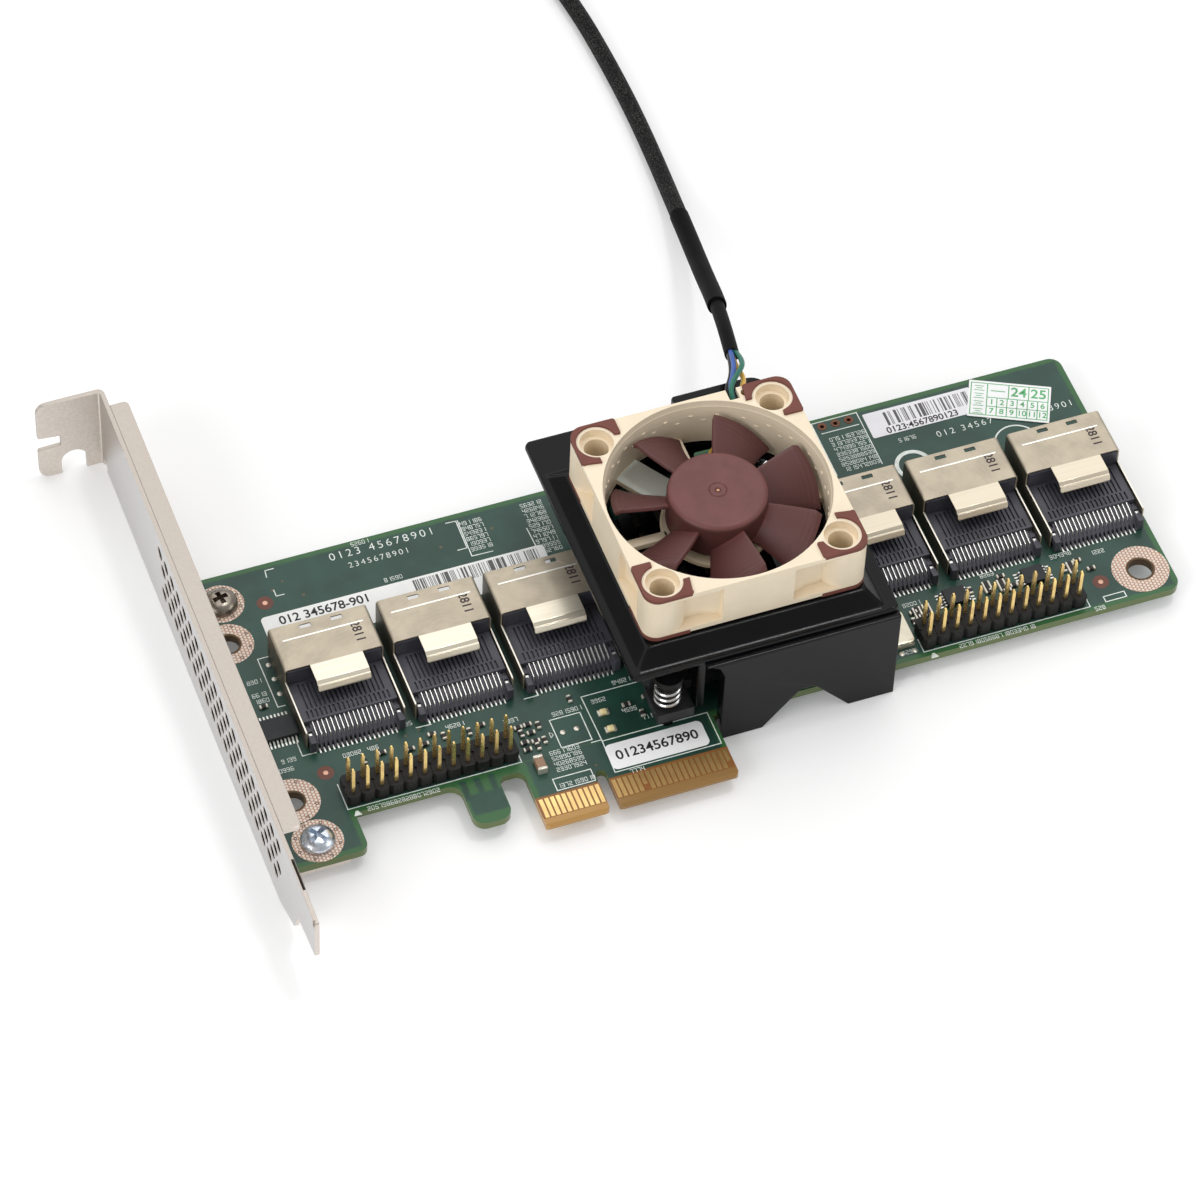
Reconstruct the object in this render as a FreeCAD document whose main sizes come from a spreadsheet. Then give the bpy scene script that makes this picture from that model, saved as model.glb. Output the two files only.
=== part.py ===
import FreeCAD, Part
import math
import os
import re

import Sketcher

Vector = FreeCAD.Vector

# Storage expander card lying component side up.
# Card coordinates: X from the first edge contact towards the far end, Y from the contact edge
# towards the far long edge, Z up from the surface that the card lies on. Every sub-part is then
# shifted so that the origin is the middle of the card's footprint.

# Circuit board outline, holes and gold edge contacts
BOARD = {
    "board_left": -44.5, "board_right": 121.1, "board_far": 68.9, "board_near": 13.1,
    "board_thick": 1.57, "board_clear": 2.7,
    "lobe_right": -30.3, "lobe_near": 5.3, "lobe_round": 1.6,
    "hook_left": -11.9, "hook_right": -5.2, "hook_near": 3.9, "hook_round": 2.2, "hook_notch": 12.4,
    "tongue_left": -0.75, "tongue_right": 33.75, "key_left": 10.55, "key_right": 12.45, "key_end": 8.2,
    "edge_bevel": 0.5, "right_round": 2.2, "tongue_cut": 0.6,
    "finger_pitch": 1.0, "finger_wide": 0.7, "finger_low": 1.75, "finger_high": 5.65,
    "finger_thick": 0.05, "finger_short": 1.3,
    "corner_hole_x": 115.8, "corner_hole_y": 19.05, "corner_hole_d": 4.6,
    "spare_hole_x": -39.4, "spare_hole_far": 54.0, "spare_hole_near": 18.7, "spare_hole_d": 4.0,
    "jumper_x": 75.0, "jumper_y": 66.95, "jumper_pitch": 2.54, "jumper_hole_d": 1.0,
}

# Slot bracket of folded sheet, and the two screws that hold it to the board
BRACKET = {
    "plate_face": -46.9, "sheet_thick": 0.86, "bracket_wide": 19.0,
    "bracket_far": 104.0, "tail_end": -16.0, "tail_low": 9.4, "tail_high": 18.3,
    "tail_root": -7.0, "shoulder_y": -4.9, "shoulder_low": 3.0, "shoulder_start": 3.0,
    "flange_wide": 4.1, "flange_near": 3.0, "flange_far": 99.8, "fold_round": 0.7,
    "tab_deep": 11.55, "tab_round": 2.0,
    "tab_slot_low": 7.3, "tab_slot_high": 10.5, "tab_slot_deep": 4.1,
    "tab_notch_x": 5.2, "tab_notch_wide": 4.5, "tab_notch_high": 5.3,
    "ear_long": 13.0, "ear_wide": 8.6,
    "vent_d": 2.7, "vent_near": 3.3, "vent_pitch": 3.43, "vent_low": 5.85, "vent_step": 3.05,
    "screw_x": -38.0, "screw_far": 62.8, "screw_near": 9.6, "screw_gap": 0.15,
    "screw_shank_d": 2.9, "screw_long": 4.2, "screw_head_d": 6.0, "screw_head_high": 2.0,
    "screw_crown_d": 3.4, "screw_rim": 0.8, "cross_wide": 0.8, "cross_long": 3.0, "cross_deep": 1.1,
}

# Six shielded cable ports; Y as on the card, Z from the board's upper face
PORTS = {
    "port_left_x": -24.9, "port_right_x": 72.6, "port_pitch": 19.4,
    "port_wide": 17.7, "port_high": 7.0, "port_mouth": 49.6, "shell_thick": 0.3, "shell_near": 40.2,
    "strip_near": 28.6, "strip_high": 3.9, "port_gap": 0.12,
    "leaf_wide": 9.4, "leaf_shift": 0.35, "leaf_near": 35.5, "leaf_drop": 1.8,
    "window_wide": 2.0, "window_deep": 0.8, "window_inset": 0.7, "window_spread": 5.6,
    "block_high": 3.3, "block_near": 30.6, "nose_near": 28.0, "nose_high": 2.3, "nose_low": 0.9,
    "wall_far": 41.6, "floor_thick": 1.1, "foot_near": 26.9, "foot_wide": 1.4, "foot_high": 2.6,
    "card_slot_inset": 1.35, "card_slot_low": 1.6, "card_slot_high": 2.8, "card_slot_near": 35.5,
    "lane_inset": 2.05, "lane_wide": 0.35, "lane_thick": 0.2, "lane_near": 26.6,
}

# Two pin headers; Z from the board's upper face
HEADERS = {
    "header_left_x": -29.75, "header_right_x": 74.5, "header_y": 15.7, "header_high": 2.54,
    "pin_pitch": 2.54, "pin_side": 0.64, "pin_top": 8.6, "pin_tail": 1.5, "pin_hole_d": 1.05,
    "groove_wide": 0.9, "groove_deep": 0.5,
}

# Chip, heatsink and its sprung pins; Z from the board's upper face
COOLING = {
    "chip_side": 27.0, "chip_lid": 22.0, "chip_base": 1.2, "chip_high": 2.4,
    "pad_side": 21.0, "pad_thick": 0.3,
    "sink_wide": 36.6, "sink_deep": 37.0, "sink_base": 2.2, "sink_high": 12.5,
    "fin_thick": 1.0, "fin_cross": 1.6,
    "pin_x": 16.2, "pin_y": 21.6, "ear_reach": 2.6, "ear_inner": 4.0, "ear_hole_gap": 0.3,
    "peg_d": 2.7, "peg_head_d": 5.2, "peg_head_high": 1.3, "peg_head_low": 11.2,
    "peg_hole_gap": 0.4, "barb_d": 3.9, "barb_tip_d": 1.6,
    "coil_d": 4.7, "coil_wire": 0.6, "coil_pitch": 1.45,
}

# Printed fan shroud; Z from the board's upper face
SHROUD = {
    "shroud_left": 18.2, "shroud_right": 66.4, "shroud_near": 11.7, "shroud_far": 66.4,
    "lip_low": 16.6, "lip_top": 18.0, "shroud_top": 20.0, "roof_thick": 1.6, "lip_round": 1.2,
    "bevel": 4.1, "deck_left": 22.2, "deck_right": 61.6, "deck_near": 16.0, "deck_far": 55.9,
    "slope_left": 19.2, "slope_right": 63.9, "slope_near": 12.6, "slope_far": 58.0, "step_left": 45.2,
    "wall_proud": 1.0, "wall_rise": 0.3,
    "front_left": 34.4, "wall_thick": 1.3, "arch_left": 42.2, "arch_right": 58.0,
    "arch_top_left": 48.8, "arch_top_right": 51.4, "arch_high": 7.9, "hook_deep": 1.6,
    "side_low": 7.3, "side_gap": 0.3, "back_left": 27.0, "back_right": 50.0,
    "post_left": 30.4, "post_right": 31.9, "post_low": 4.0, "duct_d": 37.4, "stud_d": 3.9, "stud_high": 3.0,
}

# Cooling fan; X and Y from its axis, Z from the underside of its frame
FAN = {
    "fan_x": 42.2, "fan_y": 36.5, "fan_side": 40.0, "fan_thick": 10.0, "fan_round": 2.6,
    "hole_spread": 32.0, "hole_d": 4.3, "hole_rim_d": 5.8, "hole_rim_deep": 1.6,
    "bore_d": 38.0, "flare_d": 38.8, "flare_deep": 3.0,
    "recess_from": 6.4, "recess_to": 11.4, "recess_deep": 1.3, "recess_low": 1.0, "recess_high": 9.0,
    "rubber_side": 8.6, "rubber_thick": 0.4, "rubber_hole_d": 7.0,
    "motor_plate_d": 19.0, "motor_plate_thick": 1.3, "strut_wide": 1.8,
    "tube_d": 6.0, "tube_top": 6.8, "bush_d": 4.4, "shaft_d": 2.0, "shaft_gap": 0.05, "tube_floor": 0.7,
    "notch_x": 10.5, "notch_wide": 3.6, "notch_low": 6.6, "notch_deep": 2.4,
    "driver_d": 15.4, "driver_thick": 0.8, "core_d": 13.0, "core_low": 3.5, "core_high": 6.3,
    "core_hub_d": 8.0, "pole_wide": 2.4, "shoe_thick": 0.9, "coil_gap": 0.15, "coil_grow": 0.9,
    "hub_d": 17.4, "hub_low": 2.5, "hub_top": 9.7, "hub_roof": 1.0, "hub_wall": 0.8, "hub_round": 0.9,
    "hub_boss_d": 4.2, "hub_boss_low": 7.2, "yoke_thick": 0.5, "magnet_thick": 0.75, "ring_low": 2.9,
    "blade_tip": 17.5, "blade_thick": 0.8, "blade_turn": 3.1,
    "root_chord": 5.7, "root_low": 3.6, "root_high": 8.6,
    "tip_chord": 10.4, "tip_low": 2.1, "tip_high": 9.4,
}

# Stickers and small parts on the board; Z from the board's upper face
SMALL = {
    "sticker_thick": 0.1,
    "strip_left": -32.6, "strip_right": 19.0, "strip_y": 50.4, "strip_deep": 7.2,
    "name_left": 13.9, "name_right": 31.4, "name_y": 7.4, "name_deep": 5.4, "name_round": 0.8,
    "bars_left": 82.7, "bars_right": 103.2, "bars_y": 61.4, "bars_deep": 5.8,
    "grid_x": 108.8, "grid_y": 61.7, "grid_long": 14.7, "grid_deep": 8.5, "grid_turn": -25.5,
    "led_x": 16.3, "led_far": 19.4, "led_near": 15.7, "led_long": 2.0, "led_deep": 1.25, "led_high": 0.8,
    "cap_x": 2.3, "cap_y": 12.1, "cap_long": 1.7, "cap_deep": 3.2, "cap_high": 1.5,
    "clock_x": 69.7, "clock_y": 19.4, "clock_long": 5.0, "clock_deep": 7.0, "clock_high": 1.5,
    "logic_x": -38.0, "logic_y": 33.6, "logic_long": 7.8, "logic_deep": 4.4, "logic_high": 1.1,
    "buffer_left": 82.7, "buffer_right": 97.4, "buffer_y": 23.4,
    "buffer_long": 4.0, "buffer_deep": 3.4, "buffer_high": 1.0,
}

# Fan lead: round pieces that share one route, and the plug at its end
LEAD = {
    "wire_d": 1.0, "wire_spread": 0.56, "inner_tube_d": 2.6, "outer_tube_d": 3.5, "sleeve_d": 3.2,
    "plug_long": 12.0, "plug_wide": 10.2, "plug_high": 5.8, "plug_socket_deep": 8.0,
    "plug_pitch": 2.54, "plug_hole": 1.1,
}

PORT_LANES = 18
HEADER_COLUMNS = 12
HEADER_ROWS = 2
BLADES = 7
POLES = 4
FINS = 10
FIN_CROSS_CUTS = 3
JUMPER_HOLES = 3
VENT_ROWS = (19, 19, 19, 20)
PLUG_WAYS = 4
COIL_STEPS = 10
NEAR_FINGERS = range(0, 11)
FAR_FINGERS = range(13, 34)
SHORT_FINGERS = (18, 33)

# Route of the fan lead in card coordinates, from the end of its bare wires to its plug:
# down from the fan's upper edge behind the board, then along the surface.
ROUTE = [
    (56.6, 67.0, 30.4), (58.6, 74.6, 27.0), (60.6, 82.3, 23.0), (62.6, 90.2, 18.6), (64.3, 98.3, 14.2),
    (66.2, 107.3, 9.7), (68.1, 117.4, 5.5), (69.5, 127.8, 2.7), (70.4, 139.2, 1.7), (70.8, 152.0, 1.6),
    (70.6, 165.4, 1.6), (69.8, 180.0, 1.6), (67.6, 194.0, 1.6), (62.8, 207.0, 1.6), (54.6, 218.0, 1.6),
    (43.5, 225.4, 1.6),
]
INNER_TUBE_END = 2
OUTER_TUBE_END = 6
WIRE_START = (52.4, 54.25, 33.0)
WIRE_BEND = (53.6, 60.0, 32.9)
WIRE_TAIL = 3.5
ARC_SHARE = 0.45

doc = FreeCAD.newDocument("ExpanderCard")
nodes = []


def make_sheet():
    """Write every size into the sheet, one row each, with its name as the alias."""
    dims = doc.addObject("Spreadsheet::Sheet", "Dims")
    row = 0
    for sizes in (BOARD, BRACKET, PORTS, HEADERS, COOLING, SHROUD, FAN, SMALL, LEAD):
        for alias, value in sizes.items():
            row += 1
            dims.set(f"A{row}", alias)
            dims.set(f"B{row}", str(value))
            dims.setAlias(f"B{row}", alias)
    doc.recompute()
    return dims


sheet = make_sheet()


def cells(text):
    """Turn the plain size names in an expression into references to the sheet."""
    return re.sub(r"\b[a-z][a-z_]*\b", lambda word: f"Dims.{word.group()}", str(text))


def size(text):
    """Work out an expression of size names as a number."""
    return float(sheet.evalExpression(cells(text)))


def bind(item, **properties):
    """Bind properties of an object to expressions of size names."""
    for name, text in properties.items():
        item.setExpression(name, cells(text))


def place(item, x, y, z):
    """Bind an object's position to three expressions."""
    for axis, text in zip("xyz", (x, y, z)):
        item.setExpression(f".Placement.Base.{axis}", cells(text))


# Middle of the footprint: the bracket's tab to the board's far end, and the bracket's own length
MIDDLE_X = "(plate_face - tab_deep + board_right) / 2"
MIDDLE_Y = "(bracket_far + tail_end) / 2"
BOARD_TOP = "board_clear + board_thick"
ON_BOARD = ("0", "0", BOARD_TOP)
ON_CARD = ("0", "0", "0")
FAN_SEAT = ("fan_x", "fan_y", f"{BOARD_TOP} + shroud_top + rubber_thick")


def node(label, item, at=ON_CARD):
    """Name a finished sub-part and shift it from its own coordinates to the footprint's middle."""
    item.Label = label
    place(item, f"{at[0]} - {MIDDLE_X}", f"{at[1]} - {MIDDLE_Y}", at[2])
    nodes.append(item)


def box(x, y, z):
    """A block between two expressions along each axis."""
    item = doc.addObject("Part::Box", "Block")
    bind(item, Length=f"({x[1]}) - ({x[0]})", Width=f"({y[1]}) - ({y[0]})", Height=f"({z[1]}) - ({z[0]})")
    place(item, x[0], y[0], z[0])
    return item


def round_bar(x, y, z, diameter):
    """An upright cylinder about (x, y) between two heights."""
    item = doc.addObject("Part::Cylinder", "RoundBar")
    bind(item, Radius=f"({diameter}) / 2", Height=f"({z[1]}) - ({z[0]})")
    place(item, x, y, z[0])
    return item


def cone(x, y, z, low_diameter, high_diameter):
    """An upright cone frustum about (x, y) between two heights."""
    item = doc.addObject("Part::Cone", "Taper")
    bind(item, Radius1=f"({low_diameter}) / 2", Radius2=f"({high_diameter}) / 2",
         Height=f"({z[1]}) - ({z[0]})")
    place(item, x, y, z[0])
    return item


def group(items):
    """Several separate solids as one object."""
    item = doc.addObject("Part::Compound", "Group")
    item.Links = items
    return item


def fuse(items):
    """Several blocks joined into one solid."""
    item = doc.addObject("Part::MultiFuse", "Join")
    item.Shapes = items
    item.Refine = True
    return item


def cut(base, tools):
    """A solid with other solids taken out of it."""
    item = doc.addObject("Part::Cut", "Cut")
    item.Base = base
    item.Tool = tools[0] if len(tools) == 1 else group(tools)
    return item


def new_body():
    """An empty body whose features are added one after another."""
    return doc.addObject("PartDesign::Body", "Body")


def origin_feature(body, role):
    """One of a body's own planes or axes."""
    return next(item for item in body.Origin.OriginFeatures if item.Role == role)


def circle(x, y, diameter):
    """A round outline for a sketch."""
    return ("circle", x, y, diameter)


def rectangle(x, y):
    """A rectangular outline between two expressions along each sketch axis."""
    return [(x[0], y[0]), (x[1], y[0]), (x[1], y[1]), (x[0], y[1])]


def sketch(body, plane, offset, outlines):
    """A sketch whose every corner, centre and diameter is bound to the sheet."""
    drawing = body.newObject("Sketcher::SketchObject", "Sketch")
    drawing.AttachmentSupport = [(origin_feature(body, plane), "")]
    drawing.MapMode = "FlatFace"
    drawing.setExpression(".AttachmentOffset.Base.z", cells(offset))
    for outline in outlines:
        if outline[0] == "circle":
            draw_circle(drawing, *outline[1:])
        else:
            draw_polygon(drawing, outline)
    return drawing


def bound(drawing, text, *constraint):
    """Add one dimension to a sketch and bind it to an expression."""
    index = drawing.addConstraint(Sketcher.Constraint(*constraint, size(text)))
    drawing.setExpression(f"Constraints[{index}]", cells(text))


def draw_circle(drawing, x, y, diameter):
    """Add a circle with bound centre and diameter."""
    centre = Vector(size(x), size(y), 0)
    index = drawing.addGeometry(Part.Circle(centre, Vector(0, 0, 1), size(diameter) / 2), False)
    bound(drawing, x, "DistanceX", -1, 1, index, 3)
    bound(drawing, y, "DistanceY", -1, 1, index, 3)
    bound(drawing, diameter, "Diameter", index)


def draw_polygon(drawing, corners):
    """Add a closed outline of straight lines with every corner bound."""
    points = [Vector(size(x), size(y), 0) for x, y in corners]
    count = len(points)
    first = drawing.GeometryCount
    for index in range(count):
        drawing.addGeometry(Part.LineSegment(points[index], points[(index + 1) % count]), False)
    for index in range(count):
        following = first + (index + 1) % count
        drawing.addConstraint(Sketcher.Constraint("Coincident", first + index, 2, following, 1))
    for index, (x, y) in enumerate(corners):
        bound(drawing, x, "DistanceX", -1, 1, first + index, 1)
        bound(drawing, y, "DistanceY", -1, 1, first + index, 1)


def pad(body, plane, span, outlines):
    """Material between two positions along a plane's world axis."""
    start = f"-({span[1]})" if plane == "XZ_Plane" else span[0]
    feature = body.newObject("PartDesign::Pad", "Pad")
    feature.Profile = sketch(body, plane, start, outlines)
    bind(feature, Length=f"({span[1]}) - ({span[0]})")
    return feature


def pocket(body, plane, span, outlines):
    """A cut between two positions along a plane's world axis."""
    start = f"-({span[0]})" if plane == "XZ_Plane" else span[1]
    feature = body.newObject("PartDesign::Pocket", "Pocket")
    feature.Profile = sketch(body, plane, start, outlines)
    bind(feature, Length=f"({span[1]}) - ({span[0]})")
    return feature


def loft(body, plane, sections):
    """Material that blends from one outline to another along a plane's axis."""
    drawings = [sketch(body, plane, offset, [outline]) for offset, outline in sections]
    feature = body.newObject("PartDesign::AdditiveLoft", "Loft")
    feature.Profile = drawings[0]
    feature.Sections = drawings[1:]
    feature.Ruled = True
    return feature


def linear_pattern(body, feature, axis, length, count):
    """Repeat a feature along one of the body's axes."""
    pattern = body.newObject("PartDesign::LinearPattern", "Row")
    pattern.Originals = [feature]
    pattern.Direction = (origin_feature(body, axis), [""])
    bind(pattern, Length=length)
    pattern.Occurrences = count
    body.Tip = pattern
    return pattern


def polar_pattern(body, features, count):
    """Repeat features evenly about the body's upright axis."""
    pattern = body.newObject("PartDesign::PolarPattern", "Ring")
    pattern.Originals = features
    pattern.Axis = (origin_feature(body, "Z_Axis"), [""])
    pattern.Angle = 360
    pattern.Occurrences = count
    body.Tip = pattern
    return pattern


def straight_edges(shape, direction, points):
    """Names of the straight edges along a direction whose line passes through given points."""
    names = []
    for index, edge in enumerate(shape.Edges, start=1):
        ends = [vertex.Point for vertex in edge.Vertexes]
        if len(ends) != 2 or edge.Curve.TypeId != "Part::GeomLine":
            continue
        run = (ends[1] - ends[0]).normalize()
        if abs(abs(run.dot(direction)) - 1) > 1e-6:
            continue
        if any(point.distanceToLine(ends[0], run) < 1e-4 for point in points):
            names.append(f"Edge{index}")
    return names


def round_edges(body, radius, direction, points):
    """Round the body's edges that run along a direction through given points."""
    doc.recompute()
    base = body.Tip
    feature = body.newObject("PartDesign::Fillet", "Round")
    feature.Base = (base, straight_edges(base.Shape, direction, points))
    bind(feature, Radius=radius)
    return feature


def bevel_edges(body, width, direction, points):
    """Bevel the body's edges that run along a direction through given points."""
    doc.recompute()
    base = body.Tip
    feature = body.newObject("PartDesign::Chamfer", "Bevel")
    feature.Base = (base, straight_edges(base.Shape, direction, points))
    bind(feature, Size=width)
    return feature


def turn_about_z(item, degrees):
    """Bind an object's turn about its upright axis."""
    item.Placement.Rotation = FreeCAD.Rotation(ALONG_Z, size(degrees))
    item.setExpression(".Placement.Rotation.Angle", cells(degrees))


def corner_points(*corners):
    """Positions in a plan view, as points."""
    return [Vector(size(x), size(y), 0) for x, y in corners]


ALONG_X = Vector(1, 0, 0)
ALONG_Y = Vector(0, 1, 0)
ALONG_Z = Vector(0, 0, 1)
PUSH_PINS = (("fan_x - pin_x", "fan_y - pin_y"), ("fan_x + pin_x", "fan_y + pin_y"))
SCREWS = (("screw_x", "screw_far"), ("screw_x", "screw_near"))
HEADER_STARTS = ("header_left_x", "header_right_x")


def header_pin_places(start):
    """Centre of each pin of one header, in card coordinates."""
    for row in range(HEADER_ROWS):
        for column in range(HEADER_COLUMNS):
            yield f"{start} + {column} * pin_pitch", f"header_y + {row} * pin_pitch"


def make_circuit_board():
    """Board with its two contact tongues, retention hook, bracket lobe and holes."""
    body = new_body()
    pad(body, "XY_Plane", ("board_clear", BOARD_TOP), [[
        ("board_left", "lobe_near"), ("lobe_right", "lobe_near"), ("lobe_right", "board_near"),
        ("hook_left", "board_near"), ("hook_left", "hook_near"), ("hook_right", "hook_near"),
        ("hook_right", "hook_notch"), ("tongue_left", "hook_notch"), ("tongue_left", "tongue_cut"),
        ("tongue_left + tongue_cut", "0"), ("key_left - tongue_cut", "0"), ("key_left", "tongue_cut"),
        ("key_left", "key_end"), ("key_right", "key_end"), ("key_right", "tongue_cut"),
        ("key_right + tongue_cut", "0"), ("tongue_right - tongue_cut", "0"),
        ("tongue_right", "tongue_cut"), ("tongue_right", "board_near"), ("board_right", "board_near"),
        ("board_right", "board_far"), ("board_left", "board_far"),
    ]])
    round_edges(body, "right_round", ALONG_Z, corner_points(
        ("board_right", "board_far"), ("board_right", "board_near")))
    round_edges(body, "lobe_round", ALONG_Z, corner_points(
        ("lobe_right", "lobe_near"), ("hook_right", "hook_notch"), ("tongue_left", "hook_notch")))
    round_edges(body, "hook_round", ALONG_Z, corner_points(
        ("hook_left", "hook_near"), ("hook_right", "hook_near"), ("hook_left", "board_near")))
    round_edges(body, "(key_right - key_left) * 0.45", ALONG_Z, corner_points(
        ("key_left", "key_end"), ("key_right", "key_end")))
    bevel_edges(body, "edge_bevel", ALONG_X, [
        Vector(0, 0, size("board_clear")), Vector(0, 0, size(BOARD_TOP))])
    holes = [("corner_hole_x", "corner_hole_y", "corner_hole_d"),
             ("spare_hole_x", "spare_hole_far", "spare_hole_d"),
             ("spare_hole_x", "spare_hole_near", "spare_hole_d")]
    holes += [(x, y, "screw_shank_d + 2 * screw_gap") for x, y in SCREWS]
    holes += [(x, y, "peg_d + peg_hole_gap") for x, y in PUSH_PINS]
    holes += [(f"jumper_x + {index} * jumper_pitch", "jumper_y", "jumper_hole_d")
              for index in range(JUMPER_HOLES)]
    holes += [(x, y, "pin_hole_d") for start in HEADER_STARTS for x, y in header_pin_places(start)]
    through = ("board_clear - 1", f"{BOARD_TOP} + 1")
    drills = [round_bar(x, y, through, diameter) for x, y, diameter in holes]
    node("circuit_board", cut(body, drills))


def make_edge_contacts():
    """Gold contacts on both faces of the two tongues; two of them are short."""
    contacts = []
    faces = (("board_clear - finger_thick", "board_clear"),
             (BOARD_TOP, f"{BOARD_TOP} + finger_thick"))
    for index in [*NEAR_FINGERS, *FAR_FINGERS]:
        middle = f"{index} * finger_pitch"
        x = (f"{middle} - finger_wide / 2", f"{middle} + finger_wide / 2")
        low = "finger_low + finger_short" if index in SHORT_FINGERS else "finger_low"
        contacts += [box(x, (low, "finger_high"), face) for face in faces]
    node("edge_contacts", group(contacts))


def make_bracket():
    """Vented slot bracket: plate, stiffening flange, screw tab, tail and two ears under the board."""
    body = new_body()
    inner_face = "plate_face + sheet_thick"
    pad(body, "YZ_Plane", ("plate_face", inner_face), [[
        ("bracket_far", "0"), ("bracket_far", "bracket_wide"), ("tail_root", "bracket_wide"),
        ("tail_end", "tail_high"), ("tail_end", "tail_low"), ("tail_root", "tail_low - 1"),
        ("shoulder_y", "shoulder_low"), ("shoulder_start", "0"),
    ]])
    pad(body, "XY_Plane", ("bracket_wide - sheet_thick", "bracket_wide"), [
        rectangle(("plate_face", "plate_face + flange_wide"), ("flange_near", "flange_far"))])
    tab_edge = "plate_face - tab_deep"
    pad(body, "XZ_Plane", ("bracket_far - sheet_thick", "bracket_far"), [
        rectangle((tab_edge, inner_face), ("0", "bracket_wide"))])
    for x, y in SCREWS:
        pad(body, "XY_Plane", ("board_clear - sheet_thick", "board_clear"), [rectangle(
            ("plate_face", f"{inner_face} + ear_long"), (f"{y} - ear_wide / 2", f"{y} + ear_wide / 2"))])
    through_tab = ("bracket_far - 2 * sheet_thick", "bracket_far + sheet_thick")
    notch_middle = "plate_face - tab_notch_x"
    notch_arc = "tab_notch_high - tab_notch_wide / 2"
    pocket(body, "XZ_Plane", through_tab, [rectangle(
        (f"{tab_edge} - 1", f"{tab_edge} + tab_slot_deep"), ("tab_slot_low", "tab_slot_high"))])
    pocket(body, "XZ_Plane", through_tab, [rectangle(
        (f"{notch_middle} - tab_notch_wide / 2", f"{notch_middle} + tab_notch_wide / 2"),
        ("-1", notch_arc))])
    pocket(body, "XZ_Plane", through_tab, [circle(notch_middle, notch_arc, "tab_notch_wide")])
    round_edges(body, "tab_round", ALONG_Y, [
        Vector(size(tab_edge), 0, 0), Vector(size(tab_edge), 0, size("bracket_wide"))])
    round_edges(body, "fold_round", ALONG_Z, corner_points((inner_face, "bracket_far")))
    round_edges(body, "fold_round", ALONG_Y, [Vector(size("plate_face"), 0, size("bracket_wide"))])
    vents = []
    for column, rows in enumerate(VENT_ROWS):
        shift = f"{(column + 1) % 2} * vent_pitch / 2"
        for row in range(rows):
            hole = round_bar("plate_face - 1", f"vent_near + {row} * vent_pitch + {shift}",
                             (f"vent_low + {column} * vent_step", f"vent_low + {column} * vent_step + 3"),
                             "vent_d")
            hole.Placement.Rotation = FreeCAD.Rotation(ALONG_Y, 90)
            vents.append(hole)
    threads = [round_bar(x, y, ("board_clear - 2 * sheet_thick", "board_clear + 1"),
                         "screw_shank_d + screw_gap") for x, y in SCREWS]
    node("bracket", cut(body, vents + threads))


def make_bracket_screws():
    """Two pan-head screws through the board into the bracket's ears."""
    screws = []
    head_base = BOARD_TOP
    rim = f"{BOARD_TOP} + screw_rim"
    crown = f"{BOARD_TOP} + screw_head_high"
    for x, y in SCREWS:
        solid = fuse([
            round_bar(x, y, (f"{BOARD_TOP} - screw_long", head_base), "screw_shank_d"),
            round_bar(x, y, (head_base, rim), "screw_head_d"),
            cone(x, y, (rim, crown), "screw_head_d", "screw_crown_d"),
        ])
        recess = (f"{crown} - cross_deep", f"{crown} + 1")
        narrow = ("cross_wide / 2", "cross_long / 2")
        slots = [box((f"{x} - {a}", f"{x} + {a}"), (f"{y} - {b}", f"{y} + {b}"), recess)
                 for a, b in (narrow, narrow[::-1])]
        screws.append(cut(solid, slots))
    node("bracket_screws", group(screws))


def port_places():
    """Middle of each port along the card: three on either side of the fan."""
    for start in ("port_left_x", "port_right_x"):
        for index in range(3):
            yield f"{start} + {index} * port_pitch"


def make_port_housing():
    """Black port body: card slot block, low front with its sloping nose, floor and two feet."""
    inner = "port_wide / 2 - shell_thick - port_gap"
    body = new_body()
    pad(body, "YZ_Plane", (f"-({inner})", inner), [[
        ("nose_near", "nose_low"), ("nose_near", "nose_high"), ("block_near", "block_high"),
        ("shell_near", "block_high"), ("shell_near", "port_high - shell_thick - port_gap"),
        ("wall_far", "port_high - shell_thick - port_gap"), ("wall_far", "floor_thick"),
        ("port_mouth", "floor_thick"), ("port_mouth", "0"), ("block_near", "0"),
        ("block_near", "nose_low"),
    ]])
    for side in ("-1", "1"):
        outer = f"{side} * ({inner})"
        foot = f"{side} * ({inner} - foot_wide)"
        span = (outer, foot) if side == "-1" else (foot, outer)
        pad(body, "XY_Plane", ("0", "foot_high"), [rectangle(span, ("foot_near", "block_near + 1"))])
    pocket(body, "XZ_Plane", ("card_slot_near", "wall_far + 1"), [rectangle(
        ("-(port_wide / 2 - card_slot_inset)", "port_wide / 2 - card_slot_inset"),
        ("card_slot_low", "card_slot_high"))])
    return body


def make_port_shell():
    """Plated sheet shell: roof, side walls with low front strips, bent leaf and two windows."""
    half = "port_wide / 2"
    roof = ("port_high - shell_thick", "port_high")
    leaf = ("leaf_shift - leaf_wide / 2", "leaf_shift + leaf_wide / 2")
    sheets = [
        box((f"-{half}", half), ("shell_near", "port_mouth"), roof),
        box(leaf, ("leaf_near", "shell_near"), roof),
        box(leaf, ("leaf_near", "leaf_near + shell_thick"), ("port_high - leaf_drop", "port_high")),
    ]
    for wall in ((f"-{half}", f"-{half} + shell_thick"), (f"{half} - shell_thick", half)):
        sheets.append(box(wall, ("shell_near", "port_mouth"), ("0", "port_high")))
        sheets.append(box(wall, ("strip_near", "shell_near"), ("0", "strip_high")))
    far = "port_mouth - window_inset"
    windows = [box((f"leaf_shift + {side} * window_spread / 2 - window_wide / 2",
                    f"leaf_shift + {side} * window_spread / 2 + window_wide / 2"),
                   (f"{far} - window_deep", far), ("port_high - 2 * shell_thick", "port_high + 1"))
               for side in (-1, 1)]
    return cut(fuse(sheets), windows)


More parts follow.
